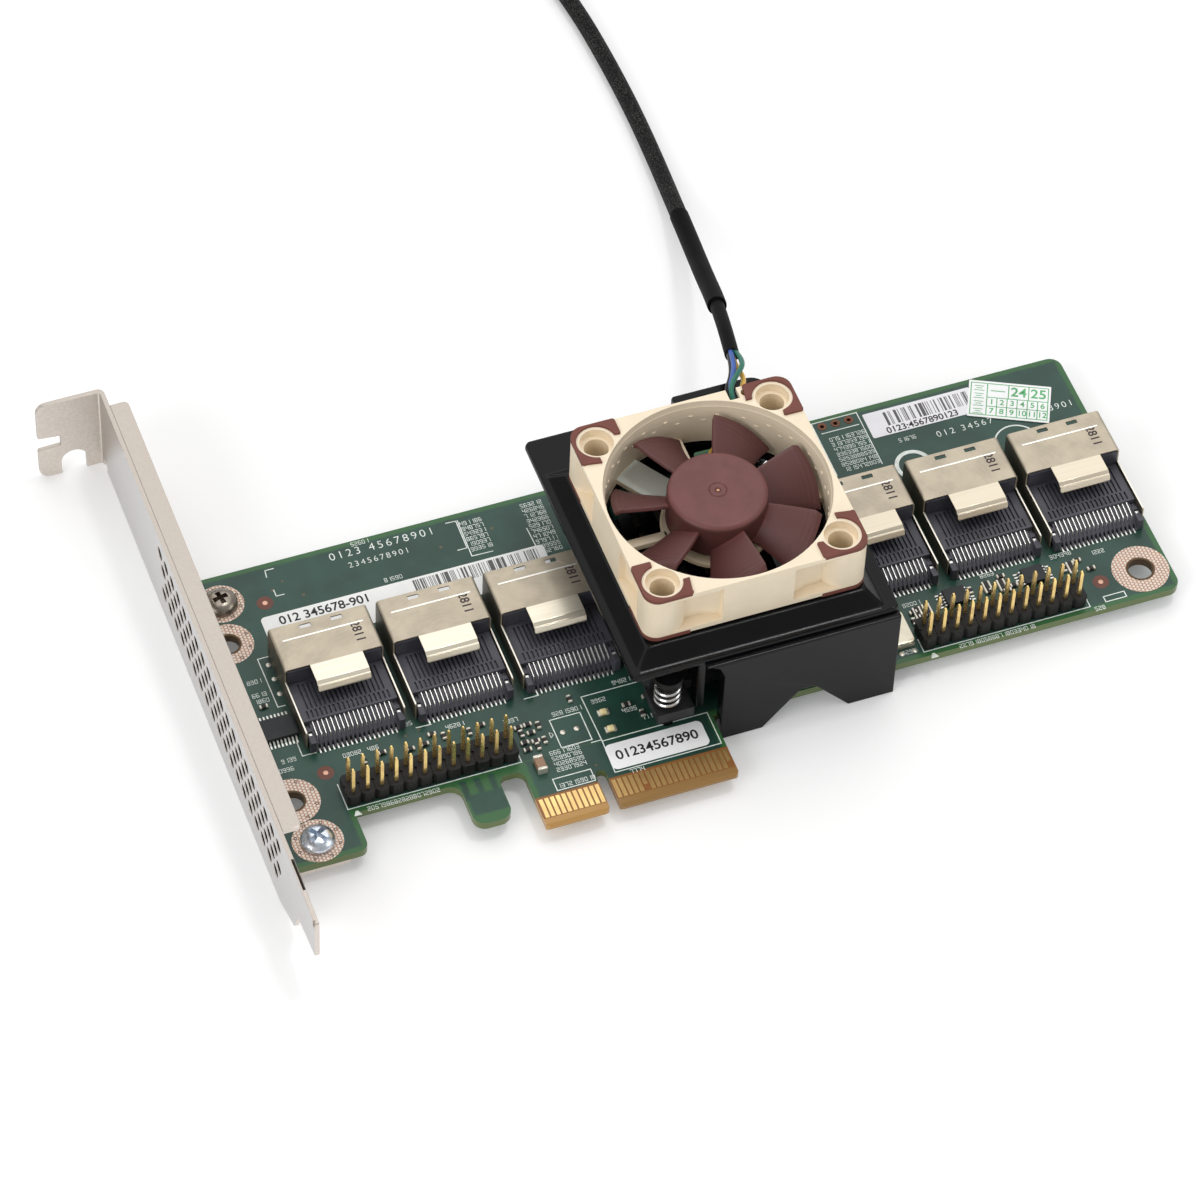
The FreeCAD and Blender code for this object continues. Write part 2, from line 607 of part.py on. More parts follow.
def make_port_contacts():
    """Row of contacts that come over the sloping nose and down to the board."""
    body = new_body()
    row = "port_wide - 2 * lane_inset"
    first = f"-({row} + lane_wide) / 2"
    lane = pad(body, "YZ_Plane", (first, f"{first} + lane_wide"), [[
        ("block_near", "block_high"), ("nose_near", "nose_high"), ("nose_near", "0"), ("lane_near", "0"),
        ("lane_near", "lane_thick"), ("nose_near - lane_thick", "lane_thick"),
        ("nose_near - lane_thick", "nose_high + lane_thick / 2"),
        ("block_near", "block_high + lane_thick"),
    ]])
    linear_pattern(body, lane, "X_Axis", row, PORT_LANES)
    return body


def make_ports():
    """Six ports, each a housing, a shell and a row of contacts."""
    for number, x in enumerate(port_places(), start=1):
        at = (x, "0", BOARD_TOP)
        node(f"port_{number}_housing", make_port_housing(), at)
        node(f"port_{number}_shell", make_port_shell(), at)
        node(f"port_{number}_contacts", make_port_contacts(), at)


def make_header_pins(start):
    """Square gold pins of one header, through its base and the board."""
    height = ("board_clear - pin_tail", f"{BOARD_TOP} + pin_top")
    return [box((f"{x} - pin_side / 2", f"{x} + pin_side / 2"),
                (f"{y} - pin_side / 2", f"{y} + pin_side / 2"), height)
            for x, y in header_pin_places(start)]


def make_headers():
    """Two double-row pin headers with grooved black bases."""
    for number, start in enumerate(HEADER_STARTS, start=1):
        body = new_body()
        left = f"{start} - pin_pitch / 2"
        near = "header_y - pin_pitch / 2"
        far = f"header_y + {HEADER_ROWS - 1} * pin_pitch + pin_pitch / 2"
        height = (BOARD_TOP, f"{BOARD_TOP} + header_high")
        pad(body, "XY_Plane", height, [rectangle(
            (left, f"{left} + {HEADER_COLUMNS} * pin_pitch"), (near, far))])
        middle = f"{left} + pin_pitch"
        for edge, inside in ((near, f"{near} + groove_deep"), (far, f"{far} - groove_deep")):
            groove = pocket(body, "XY_Plane", height, [[
                (f"{middle} - groove_wide / 2", edge), (f"{middle} + groove_wide / 2", edge),
                (middle, inside)]])
            linear_pattern(body, groove, "X_Axis", f"{HEADER_COLUMNS - 2} * pin_pitch", HEADER_COLUMNS - 1)
        node(f"header_{number}_base", cut(body, make_header_pins(start)))
        node(f"header_{number}_pins", group(make_header_pins(start)))


def square(side):
    """A square in plan, centred under the fan."""
    return ((f"fan_x - {side} / 2", f"fan_x + {side} / 2"), (f"fan_y - {side} / 2", f"fan_y + {side} / 2"))


def make_chip():
    """Expander chip with its lid, and the pad that carries its heat to the heatsink."""
    chip = fuse([box(*square("chip_side"), ("0", "chip_base")),
                 box(*square("chip_lid"), ("chip_base", "chip_high"))])
    node("expander_chip", chip, ON_BOARD)
    node("thermal_pad", group([box(*square("pad_side"), ("chip_high", SINK_LOW))]), ON_BOARD)


SINK_LOW = "chip_high + pad_thick"
SINK_FLOOR = f"{SINK_LOW} + sink_base"


def make_heatsink():
    """Black heatsink: base, cross-cut fins and two diagonal ears for the sprung pins."""
    left = "fan_x - sink_wide / 2"
    right = "fan_x + sink_wide / 2"
    near = "fan_y - sink_deep / 2"
    far = "fan_y + sink_deep / 2"
    body = new_body()
    pad(body, "XY_Plane", (SINK_LOW, SINK_FLOOR), [rectangle((left, right), (near, far))])
    fin = pad(body, "XY_Plane", (SINK_FLOOR, "sink_high"),
              [rectangle((left, f"{left} + fin_thick"), (near, far))])
    linear_pattern(body, fin, "X_Axis", "sink_wide - fin_thick", FINS)
    step = f"sink_deep / {FIN_CROSS_CUTS + 1}"
    slot = pocket(body, "XY_Plane", (SINK_FLOOR, "sink_high"), [rectangle(
        (f"{left} - 1", f"{right} + 1"), (f"{near} + {step} - fin_cross / 2", f"{near} + {step} + fin_cross / 2"))])
    linear_pattern(body, slot, "Y_Axis", f"{FIN_CROSS_CUTS - 1} * {step}", FIN_CROSS_CUTS)
    near_pin, far_pin = PUSH_PINS
    ears = [
        ((f"{near_pin[0]} - ear_reach", f"{near_pin[0]} + ear_inner"),
         (f"{near_pin[1]} - ear_reach", f"{near} + 1")),
        ((f"{far_pin[0]} - ear_inner", f"{far_pin[0]} + ear_reach"),
         (f"{far} - 1", f"{far_pin[1]} + ear_reach")),
    ]
    for x, y in ears:
        pad(body, "XY_Plane", (SINK_LOW, SINK_FLOOR), [rectangle(x, y)])
    pocket(body, "XY_Plane", (SINK_LOW, SINK_FLOOR), [circle(x, y, "peg_d + ear_hole_gap") for x, y in PUSH_PINS])
    node("heatsink", body, ON_BOARD)


def make_push_pins():
    """Two barbed pins and the springs that press the heatsink down."""
    pegs = []
    springs = []
    underside = "-board_thick"
    surface = f"-({BOARD_TOP})"
    for x, y in PUSH_PINS:
        pegs.append(fuse([
            round_bar(x, y, ("peg_head_low", "peg_head_low + peg_head_high"), "peg_head_d"),
            round_bar(x, y, (underside, "peg_head_low"), "peg_d"),
            cone(x, y, (surface, underside), "barb_tip_d", "barb_d"),
        ]))
        springs.append(tube("spring", coil_points(x, y), size("coil_wire")))
    node("push_pins", group(pegs), ON_BOARD)
    add_solid("push_pin_springs", Part.Compound(springs), ON_BOARD)


def coil_points(x, y):
    """Corners of a spring's line, from the heatsink's ear up to the pin's head."""
    low = size(f"{SINK_FLOOR} + coil_wire / 2 + 0.02")
    high = size("peg_head_low - coil_wire / 2 - 0.02")
    turns = (high - low) / size("coil_pitch")
    steps = round(turns * COIL_STEPS)
    radius = size("(coil_d - coil_wire) / 2") / math.cos(math.pi / COIL_STEPS)
    points = []
    for step in range(steps + 1):
        angle = 2 * math.pi * step / COIL_STEPS
        points.append((size(x) + radius * math.cos(angle), size(y) + radius * math.sin(angle),
                       low + (high - low) * step / steps))
    return points


def make_fan_shroud():
    """Printed shroud: bevelled deck under the fan, front wall hooked under the board, back and side walls."""
    table = f"-({BOARD_TOP})"
    underside = "-board_thick"
    outer = rectangle(("shroud_left", "shroud_right"), ("shroud_near", "shroud_far"))
    foot = rectangle(("slope_left", "slope_right"), ("slope_near", "slope_far"))
    deck = rectangle(("deck_left", "deck_right"), ("deck_near", "deck_far"))
    body = new_body()
    pad(body, "XY_Plane", ("lip_low", "lip_top"), [outer])
    round_edges(body, "lip_round", ALONG_Z, corner_points(*outer))
    loft(body, "XY_Plane", [("lip_top", foot), ("shroud_top", deck)])
    pad(body, "XY_Plane", ("lip_top", "shroud_top"), [rectangle(
        ("step_left", "deck_right + 0.7"), ("deck_far - 1", "shroud_far"))])
    pocket(body, "XY_Plane", ("lip_low - 1", "shroud_top - roof_thick"), [rectangle(
        ("shroud_left + bevel", "shroud_right - bevel"), ("shroud_near + bevel", "deck_far"))])
    pocket(body, "XY_Plane", ("lip_low - 1", "shroud_top + 1"), [circle("fan_x", "fan_y", "duct_d")])
    wall_top = "lip_low + wall_rise"
    pad(body, "XZ_Plane", ("shroud_near - wall_proud", "shroud_near + wall_thick"), [[
        ("front_left - 3.2", wall_top), ("front_left - 3.2", "lip_low"), ("front_left - 0.9", "lip_low - 1"),
        ("front_left", "lip_low - 3.4"), ("front_left", table), ("arch_left", table),
        ("arch_top_left", f"{table} + arch_high"), ("arch_top_right", f"{table} + arch_high"),
        ("arch_right", table), ("shroud_right", table), ("shroud_right", wall_top),
    ]])
    inside = "shroud_near + wall_thick"
    for x in (("front_left", "arch_left"), ("arch_right", "shroud_right")):
        pad(body, "XY_Plane", (table, underside), [rectangle(x, (inside, f"{inside} + hook_deep"))])
    pad(body, "XY_Plane", ("post_low", "lip_low"), [rectangle(
        ("post_left", "post_right"), (inside, "shroud_near + bevel - 0.3"))])
    sink_left = "fan_x - sink_wide / 2 - side_gap"
    sink_right = "fan_x + sink_wide / 2 + side_gap"
    side_y = ("fan_y - sink_deep / 2 + 1", "fan_y + sink_deep / 2 - 2.5")
    for x in ((f"{sink_left} - wall_thick", sink_left), (sink_right, f"{sink_right} + wall_thick")):
        pad(body, "XY_Plane", ("side_low", "shroud_top - roof_thick"), [rectangle(x, side_y)])
    pad(body, "XY_Plane", ("0", "lip_low"), [rectangle(
        ("back_left", "back_right"), ("shroud_far - wall_thick", "shroud_far"))])
    pad(body, "XY_Plane", ("shroud_top", "shroud_top + stud_high"), [
        circle(f"fan_x + {i} * hole_spread / 2", f"fan_y + {j} * hole_spread / 2", "stud_d")
        for i in (-1, 1) for j in (-1, 1)])
    node("fan_shroud", body, ON_BOARD)


def make_fan_frame():
    """Square fan frame: flared bore, corner holes, side recesses, lead notch, motor plate on struts."""
    half = "fan_side / 2"
    full = ("0", "fan_thick")
    body = new_body()
    outline = rectangle((f"-{half}", half), (f"-{half}", half))
    pad(body, "XY_Plane", full, [outline])
    round_edges(body, "fan_round", ALONG_Z, corner_points(*outline))
    pocket(body, "XY_Plane", full, [circle("0", "0", "bore_d")])
    pocket(body, "XY_Plane", ("fan_thick - flare_deep", "fan_thick"), [circle("0", "0", "flare_d")])
    corners = [(f"{i} * hole_spread / 2", f"{j} * hole_spread / 2") for i in (-1, 1) for j in (-1, 1)]
    pocket(body, "XY_Plane", full, [circle(x, y, "hole_d") for x, y in corners])
    pocket(body, "XY_Plane", ("fan_thick - hole_rim_deep", "fan_thick"),
           [circle(x, y, "hole_rim_d") for x, y in corners])
    window = pocket(body, "XY_Plane", ("recess_low", "recess_high"), [
        rectangle((f"{half} - recess_deep", f"{half} + 1"), span)
        for span in (("recess_from", "recess_to"), ("-recess_to", "-recess_from"))])
    polar_pattern(body, [window], 4)
    pocket(body, "XY_Plane", ("notch_low", "fan_thick"), [rectangle(
        ("notch_x - notch_wide / 2", "notch_x + notch_wide / 2"), (f"{half} - notch_deep", f"{half} + 1"))])
    pad(body, "XY_Plane", ("0", "motor_plate_thick"), [circle("0", "0", "motor_plate_d")])
    strut = pad(body, "XY_Plane", ("0", "motor_plate_thick"), [rectangle(
        ("motor_plate_d / 2 - 1", "bore_d / 2 + 0.3"), ("-strut_wide / 2", "strut_wide / 2"))])
    polar_pattern(body, [strut], 4)
    pad(body, "XY_Plane", ("0", "tube_top"), [circle("0", "0", "tube_d")])
    pocket(body, "XY_Plane", ("tube_floor", "tube_top"), [circle("0", "0", "bush_d")])
    node("fan_frame", body, FAN_SEAT)


def make_fan_rubbers():
    """Soft corner pads on the fan's upper and lower faces, cut away round the holes."""
    half = "fan_side / 2"
    for label, z in (("fan_upper_pads", ("fan_thick", "fan_thick + rubber_thick")),
                     ("fan_lower_pads", ("-rubber_thick", "0"))):
        pads = []
        for i in (-1, 1):
            for j in (-1, 1):
                body = new_body()
                outer = [f"{i} * {half}", f"{i} * ({half} - rubber_side)"][::i]
                side = [f"{j} * {half}", f"{j} * ({half} - rubber_side)"][::j]
                pad(body, "XY_Plane", z, [rectangle(outer[::-1], side[::-1])])
                round_edges(body, "fan_round", ALONG_Z, corner_points((f"{i} * {half}", f"{j} * {half}")))
                hole_x = f"{i} * hole_spread / 2"
                hole_y = f"{j} * hole_spread / 2"
                pocket(body, "XY_Plane", z, [circle(hole_x, hole_y, "rubber_hole_d")])
                inward_x = [hole_x, f"{i} * ({half} - rubber_side) - {i}"][::i]
                inward_y = [hole_y, f"{j} * ({half} - rubber_side) - {j}"][::j]
                pocket(body, "XY_Plane", z, [rectangle(inward_x[::-1], inward_y[::-1])])
                pads.append(body)
        node(label, group(pads), FAN_SEAT)


def make_stator():
    """Fixed motor parts: bush, driver board, four-pole core and its coils."""
    bush = cut(round_bar("0", "0", ("tube_floor + 0.2", "tube_top"), "bush_d"),
               [round_bar("0", "0", ("0", "fan_thick"), "shaft_d + 2 * shaft_gap")])
    node("fan_bush", bush, FAN_SEAT)
    driver_top = "motor_plate_thick + driver_thick"
    driver = cut(round_bar("0", "0", ("motor_plate_thick", driver_top), "driver_d"),
                 [round_bar("0", "0", ("0", "fan_thick"), "tube_d")])
    node("fan_driver_board", driver, FAN_SEAT)
    core_z = ("core_low", "core_high")
    core = new_body()
    pad(core, "XY_Plane", core_z, [circle("0", "0", "core_d")])
    slot_out = "core_d / 2 - shoe_thick"
    slot_in = "core_hub_d / 2"
    half_pole = "pole_wide / 2"
    slot = pocket(core, "XY_Plane", core_z, [[
        (half_pole, half_pole), (f"{slot_out}", half_pole), (f"{slot_out} * 0.71", f"{slot_out} * 0.71"),
        ("core_d", "core_d * 0.97"), ("core_d * 0.97", "core_d"), (f"{slot_out} * 0.69", f"{slot_out} * 0.73"),
        (half_pole, f"{slot_out}")]])
    polar_pattern(core, [slot], POLES)
    pad(core, "XY_Plane", core_z, [circle("0", "0", slot_in + " * 2")])
    pocket(core, "XY_Plane", core_z, [circle("0", "0", "tube_d")])
    node("stator_core", core, FAN_SEAT)
    coils = []
    for turn in range(POLES):
        inner_x = f"{slot_in} + coil_gap"
        outer_x = f"{slot_out} - coil_gap"
        wide = f"{half_pole} + coil_grow"
        coil = cut(box((inner_x, outer_x), (f"-({wide})", wide),
                       ("core_low - coil_grow", "core_high + coil_grow")),
                   [box((f"{inner_x} - 1", f"{outer_x} + 1"), (f"-({half_pole})", half_pole), core_z)])
        coil.Placement.Rotation = FreeCAD.Rotation(ALONG_Z, 360 / POLES * turn)
        coils.append(coil)
    node("stator_coils", group(coils), FAN_SEAT)


def blade_section(chord, low, high):
    """Cambered blade section across a radius: rises from its trailing to its leading edge."""
    middle = f"({low}) * 0.45 + ({high}) * 0.55"
    return [(f"-{chord} / 2", low), ("0", middle), (f"{chord} / 2", f"{high} - blade_thick"),
            (f"{chord} / 2", high), ("0", f"{middle} + blade_thick"),
            (f"-{chord} / 2", f"{low} + blade_thick")]


def make_rotor():
    """Turning parts: seven-blade impeller, steel yoke, ring magnet and shaft."""
    cup = "hub_d - 2 * hub_wall"
    body = new_body()
    pad(body, "XY_Plane", ("hub_low", "hub_top"), [circle("0", "0", "hub_d")])
    blade = loft(body, "YZ_Plane", [
        ("hub_d / 2 - hub_wall + 0.1", blade_section("root_chord", "root_low", "root_high")),
        ("blade_tip", blade_section("tip_chord", "tip_low", "tip_high"))])
    polar_pattern(body, [blade], BLADES)
    pocket(body, "XY_Plane", ("hub_low - 1", "hub_top - hub_roof"), [circle("0", "0", cup)])
    pad(body, "XY_Plane", ("hub_boss_low", "hub_top - hub_roof"), [circle("0", "0", "hub_boss_d")])
    pocket(body, "XY_Plane", ("hub_low", "hub_top - hub_roof"), [circle("0", "0", "shaft_d")])
    turn_about_z(body, "blade_turn")
    node("impeller", body, FAN_SEAT)
    ring_z = ("ring_low", "hub_top - hub_roof - 0.3")
    yoke_inside = f"{cup} - 2 * yoke_thick"
    yoke = cut(round_bar("0", "0", ring_z, cup), [round_bar("0", "0", ("0", "fan_thick"), yoke_inside)])
    turn_about_z(yoke, "blade_turn")
    node("rotor_yoke", yoke, FAN_SEAT)
    magnet = cut(round_bar("0", "0", ring_z, yoke_inside),
                 [round_bar("0", "0", ("0", "fan_thick"), f"{yoke_inside} - 2 * magnet_thick")])
    turn_about_z(magnet, "blade_turn")
    node("rotor_magnet", magnet, FAN_SEAT)
    shaft = group([round_bar("0", "0", ("tube_floor + 0.2", "hub_top - hub_roof"), "shaft_d")])
    turn_about_z(shaft, "blade_turn")
    node("rotor_shaft", shaft, FAN_SEAT)


def make_stickers():
    """Four stickers on the board; the gridded one is stuck on askew."""
    thick = ("0", "sticker_thick")
    node("label_strip", group([box(("strip_left", "strip_right"), ("strip_y", "strip_y + strip_deep"),
                                   thick)]), ON_BOARD)
    name = new_body()
    outline = rectangle(("name_left", "name_right"), ("name_y", "name_y + name_deep"))
    pad(name, "XY_Plane", thick, [outline])
    round_edges(name, "name_round", ALONG_Z, corner_points(*outline))
    node("label_plain", name, ON_BOARD)
    node("label_bars", group([box(("bars_left", "bars_right"), ("bars_y", "bars_y + bars_deep"), thick)]),
         ON_BOARD)
    grid = group([box(("-grid_long / 2", "grid_long / 2"), ("-grid_deep / 2", "grid_deep / 2"), thick)])
    turn_about_z(grid, "grid_turn")
    node("label_grid", grid, ("grid_x", "grid_y", f"{BOARD_TOP} + sticker_thick"))


def chip_box(x, y, long, deep, high):
    """A small part standing on the board, centred at (x, y)."""
    return box((f"{x} - {long} / 2", f"{x} + {long} / 2"), (f"{y} - {deep} / 2", f"{y} + {deep} / 2"),
               ("0", high))


def make_small_parts():
    """Indicator lamps, capacitor, clock can and logic chips."""
    lamps = [chip_box("led_x", y, "led_long", "led_deep", "led_high") for y in ("led_far", "led_near")]
    node("status_lamps", group(lamps), ON_BOARD)
    capacitor = chip_box("cap_x", "cap_y", "cap_long", "cap_deep", "cap_high")
    node("chip_capacitor", group([capacitor]), ON_BOARD)
    node("clock_can", group([chip_box("clock_x", "clock_y", "clock_long", "clock_deep", "clock_high")]),
         ON_BOARD)
    logic = [chip_box("logic_x", "logic_y", "logic_long", "logic_deep", "logic_high")]
    logic += [chip_box(x, "buffer_y", "buffer_long", "buffer_deep", "buffer_high")
              for x in ("buffer_left", "buffer_right")]
    node("logic_chips", group(logic), ON_BOARD)


def route_wire(points, first=None, last=None):
    """Straight runs joined by tangent arcs; it may start and end in the middle of given runs."""
    corners = [Vector(*point) for point in points]
    first_corner = 1 if first is None else first + 1
    last_corner = len(corners) - 2 if last is None else last
    here = corners[0] if first is None else (corners[first] + corners[first + 1]) / 2
    end = corners[-1] if last is None else (corners[last] + corners[last + 1]) / 2
    edges = []
    radii = []
    for index in range(first_corner, last_corner + 1):
        corner = corners[index]
        back = corners[index - 1] - corner
        ahead = corners[index + 1] - corner
        reach = ARC_SHARE * min(back.Length, ahead.Length)
        half_turn = (math.pi - back.getAngle(ahead)) / 2
        radius = reach / math.tan(half_turn)
        back.normalize()
        ahead.normalize()
        start = corner + back * reach
        stop = corner + ahead * reach
        inward = (back + ahead).normalize()
        middle = corner + inward * (radius / math.cos(half_turn) - radius)
        edges.append(Part.LineSegment(here, start).toShape())
        edges.append(Part.Arc(start, middle, stop).toShape())
        radii.append(radius)
        here = stop
    edges.append(Part.LineSegment(here, end).toShape())
    return Part.Wire(edges), radii


def tube(name, points, diameter, first=None, last=None):
    """A round solid along a route, with its volume compared with its section times its length."""
    wire, radii = route_wire(points, first, last)
    edge = wire.Edges[0]
    start = edge.valueAt(edge.FirstParameter)
    section = Part.Wire(Part.Circle(start, edge.tangentAt(edge.FirstParameter), diameter / 2).toShape())
    solid = wire.makePipeShell([section], True, False)
    expected = math.pi * diameter ** 2 / 4 * wire.Length
    print(name, "length", round(wire.Length, 1), "volume ratio", round(solid.Volume / expected, 4),
          "radii", [round(radius) for radius in radii])
    return solid


def make_lead():
    """Fan lead: four bare wires, two shrunk tubes, braided sleeve and plug."""
    start = Vector(*ROUTE[0])
    run = (Vector(*ROUTE[1]) - start).normalize()
    across = run.cross(ALONG_Z).normalize()
    upward = across.cross(run)
    spread = size("wire_spread")
    wires = []
    for i in (-1, 1):
        for j in (-1, 1):
            offset = across * (i * spread) + upward * (j * spread)
            points = [Vector(*WIRE_START) + Vector(i * spread, 0, j * spread),
                      Vector(*WIRE_BEND) + offset, start - run * WIRE_TAIL + offset, start + offset]
            wires.append(tube("wire", points, size("wire_d")))
    add_solid("lead_wires", Part.Compound(wires))
    add_solid("lead_inner_tube", tube("inner tube", ROUTE, size("inner_tube_d"), None, INNER_TUBE_END))
    add_solid("lead_outer_tube",
              tube("outer tube", ROUTE, size("outer_tube_d"), INNER_TUBE_END, OUTER_TUBE_END))
    add_solid("lead_sleeve", tube("sleeve", ROUTE, size("sleeve_d"), OUTER_TUBE_END, None))
    make_plug()


def add_solid(label, shape, at=ON_CARD):
    """Keep a shape made along a route as a sub-part."""
    item = doc.addObject("Part::Feature", "RoutePiece")
    item.Shape = shape
    node(label, item, at)


def make_plug():
    """Four-way plug lying flat at the end of the lead, in line with its last run."""
    end = Vector(*ROUTE[-1])
    run = end - Vector(*ROUTE[-2])
    turn = math.degrees(math.atan2(run.y, run.x))
    middle = "plug_high / 2"
    case = box(("0", "plug_long"), ("-plug_wide / 2", "plug_wide / 2"), ("0", "plug_high"))
    holes = []
    for way in range(PLUG_WAYS):
        y = f"({way} - {(PLUG_WAYS - 1) / 2}) * plug_pitch"
        holes.append(box(("plug_long - plug_socket_deep", "plug_long + 1"),
                         (f"{y} - plug_hole / 2", f"{y} + plug_hole / 2"),
                         (f"{middle} - plug_hole / 2", f"{middle} + plug_hole / 2")))
    plug = cut(case, holes)
    plug.Placement.Rotation = FreeCAD.Rotation(ALONG_Z, turn)
    node("lead_plug", plug, (f"{end.x}", f"{end.y}", "0"))


def build():
    """Make every sub-part in turn."""
    make_circuit_board()
    make_edge_contacts()
    make_bracket()
    make_bracket_screws()
    make_ports()
    make_headers()
    make_chip()
    make_heatsink()
    make_push_pins()
    make_fan_shroud()
    make_fan_frame()
    make_fan_rubbers()
    make_stator()
    make_rotor()
    make_stickers()
    make_small_parts()
    make_lead()
    doc.recompute()


def faults():
    """Objects that failed to build, and sub-parts with a bad shape."""
    found = [item.Name for item in doc.Objects if {"Invalid", "Error"} & set(item.State)]
    for item in nodes:
        if item.Shape.isNull() or not item.Shape.isValid() or not item.Shape.Solids:
            found.append(item.Label)
    return found


def write_parts():
    """Write each sub-part to its own file."""
    os.makedirs("parts", exist_ok=True)
    for item in nodes:
        item.Shape.exportStep(os.path.join("parts", f"{item.Label}.step"))


build()
broken = faults()
if broken:
    raise SystemExit(f"failed: {broken}")
write_parts()
print(len(nodes), "sub-parts written")
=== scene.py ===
"""Storage expander card with its cooling fan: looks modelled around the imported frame."""
import logging
import math
import random
from contextlib import contextmanager
from dataclasses import dataclass, field
from enum import Enum
from typing import Callable, Iterator, Sequence

import bpy
from mathutils import Matrix, Vector


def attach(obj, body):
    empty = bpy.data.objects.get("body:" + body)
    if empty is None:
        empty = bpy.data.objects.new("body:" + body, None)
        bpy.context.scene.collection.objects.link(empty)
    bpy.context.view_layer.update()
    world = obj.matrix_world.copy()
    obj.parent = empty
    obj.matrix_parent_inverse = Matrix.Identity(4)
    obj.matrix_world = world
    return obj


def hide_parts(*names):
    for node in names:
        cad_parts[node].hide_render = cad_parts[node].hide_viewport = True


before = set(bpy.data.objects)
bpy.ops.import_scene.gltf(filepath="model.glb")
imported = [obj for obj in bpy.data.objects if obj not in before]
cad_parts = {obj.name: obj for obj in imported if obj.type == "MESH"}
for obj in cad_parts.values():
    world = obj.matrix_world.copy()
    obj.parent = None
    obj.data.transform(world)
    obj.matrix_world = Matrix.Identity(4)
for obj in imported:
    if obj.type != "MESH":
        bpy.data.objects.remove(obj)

LOG = logging.getLogger("card")
Object = bpy.types.Object
Corner = tuple[float, ...]
Outline = list[tuple[float, float]]
Span = tuple[float, float]
Spot = tuple[float, float, float]
Shade = tuple[int, int, int]
Hole = tuple[float, float, float, float]
Words = tuple[str, float, float, float]

# Pieces are modelled in card millimetres and moved into the row frame as they are finished
ORIGIN = Vector((31.325, 44.0, 0.0))
TO_ROW = Matrix.Scale(0.001, 4) @ Matrix.Translation(-ORIGIN)
BOARD_TOP = 4.27
FAN_MIDDLE = (42.2, 36.5)
FAN_LOW = 24.67
ON_TABLE = Matrix.Identity(4)
ON_BOARD = Matrix.Translation((0.0, 0.0, BOARD_TOP))
ON_FAN = Matrix.Translation((*FAN_MIDDLE, FAN_LOW))

# Points nearer than this are merged, and edges sharper than this angle are shaded as edges
MERGE_GAP = 1e-4
SHARP_ANGLE = math.radians(35.0)


class Body(Enum):
    """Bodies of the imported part."""
    CARD = "card"
    ROTOR = "rotor"


class Axis(Enum):
    """Direction in which a flat outline is thickened."""
    X = ((0, 0, 1), (1, 0, 0), (0, 1, 0))
    Y = ((1, 0, 0), (0, 0, -1), (0, 1, 0))
    Z = ((1, 0, 0), (0, 1, 0), (0, 0, 1))

    @property
    def matrix(self) -> Matrix:
        """Turn from the outline's own plane to this direction."""
        return Matrix(self.value).to_4x4()


def arc(x: float, y: float, radius: float, start: float, stop: float, steps: int = 24) -> Outline:
    """Points along an arc between two angles in degrees."""
    turns = [math.radians(start + (stop - start) * step / steps) for step in range(steps + 1)]
    return [(x + radius * math.cos(turn), y + radius * math.sin(turn)) for turn in turns]


def ring(x: float, y: float, radius: float, steps: int = 32) -> Outline:
    """Points round a circle."""
    return arc(x, y, radius, 0, 360, steps)[:-1]


def path(*corners: Corner, steps: int = 6) -> Outline:
    """Closed outline of straight sides.

    Args:
        corners: each (x, y), or (x, y, radius) where the corner is rounded.
        steps: straight pieces in each rounded corner.

    Returns:
        The outline's points in order.
    """
    points: Outline = []
    for index, corner in enumerate(corners):
        here = Vector(corner[:2])
        if len(corner) == 2:
            points.append(tuple(here))
            continue
        back = (Vector(corners[index - 1][:2]) - here).normalized()
        ahead = (Vector(corners[(index + 1) % len(corners)][:2]) - here).normalized()
        half = back.angle(ahead) / 2
        reach = corner[2] / math.tan(half)
        centre = here + (back + ahead).normalized() * corner[2] / math.sin(half)
        first = here + back * reach - centre
        last = here + ahead * reach - centre
        start = math.degrees(math.atan2(first.y, first.x))
        turn = (math.degrees(math.atan2(last.y, last.x)) - start + 180) % 360 - 180
        points += arc(centre.x, centre.y, corner[2], start, start + turn, steps)
    return points


def rounded(x: Span, y: Span, radius: float) -> Outline:
    """Rectangle with four rounded corners."""
    return path((x[0], y[0], radius), (x[1], y[0], radius), (x[1], y[1], radius), (x[0], y[1], radius))


def about(middle: float, half: float) -> Span:
    """Span that reaches equally far to both sides."""
    return middle - half, middle + half


def moved(x: float, y: float, z: float = 0.0, turn: float = 0.0) -> Matrix:
    """Turn about the upright axis in degrees, then a shift."""
    return Matrix.Translation((x, y, z)) @ Matrix.Rotation(math.radians(turn), 4, "Z")


def centred(count: int, pitch: float) -> list[float]:
    """Evenly spaced positions about zero."""
    return [(index - (count - 1) / 2) * pitch for index in range(count)]


def spokes(count: int, first: float = 0.0) -> list[Matrix]:
    """Even turns about the upright axis, the first one by an angle in degrees."""
    return [moved(0, 0, 0, first + 360 / count * index) for index in range(count)]


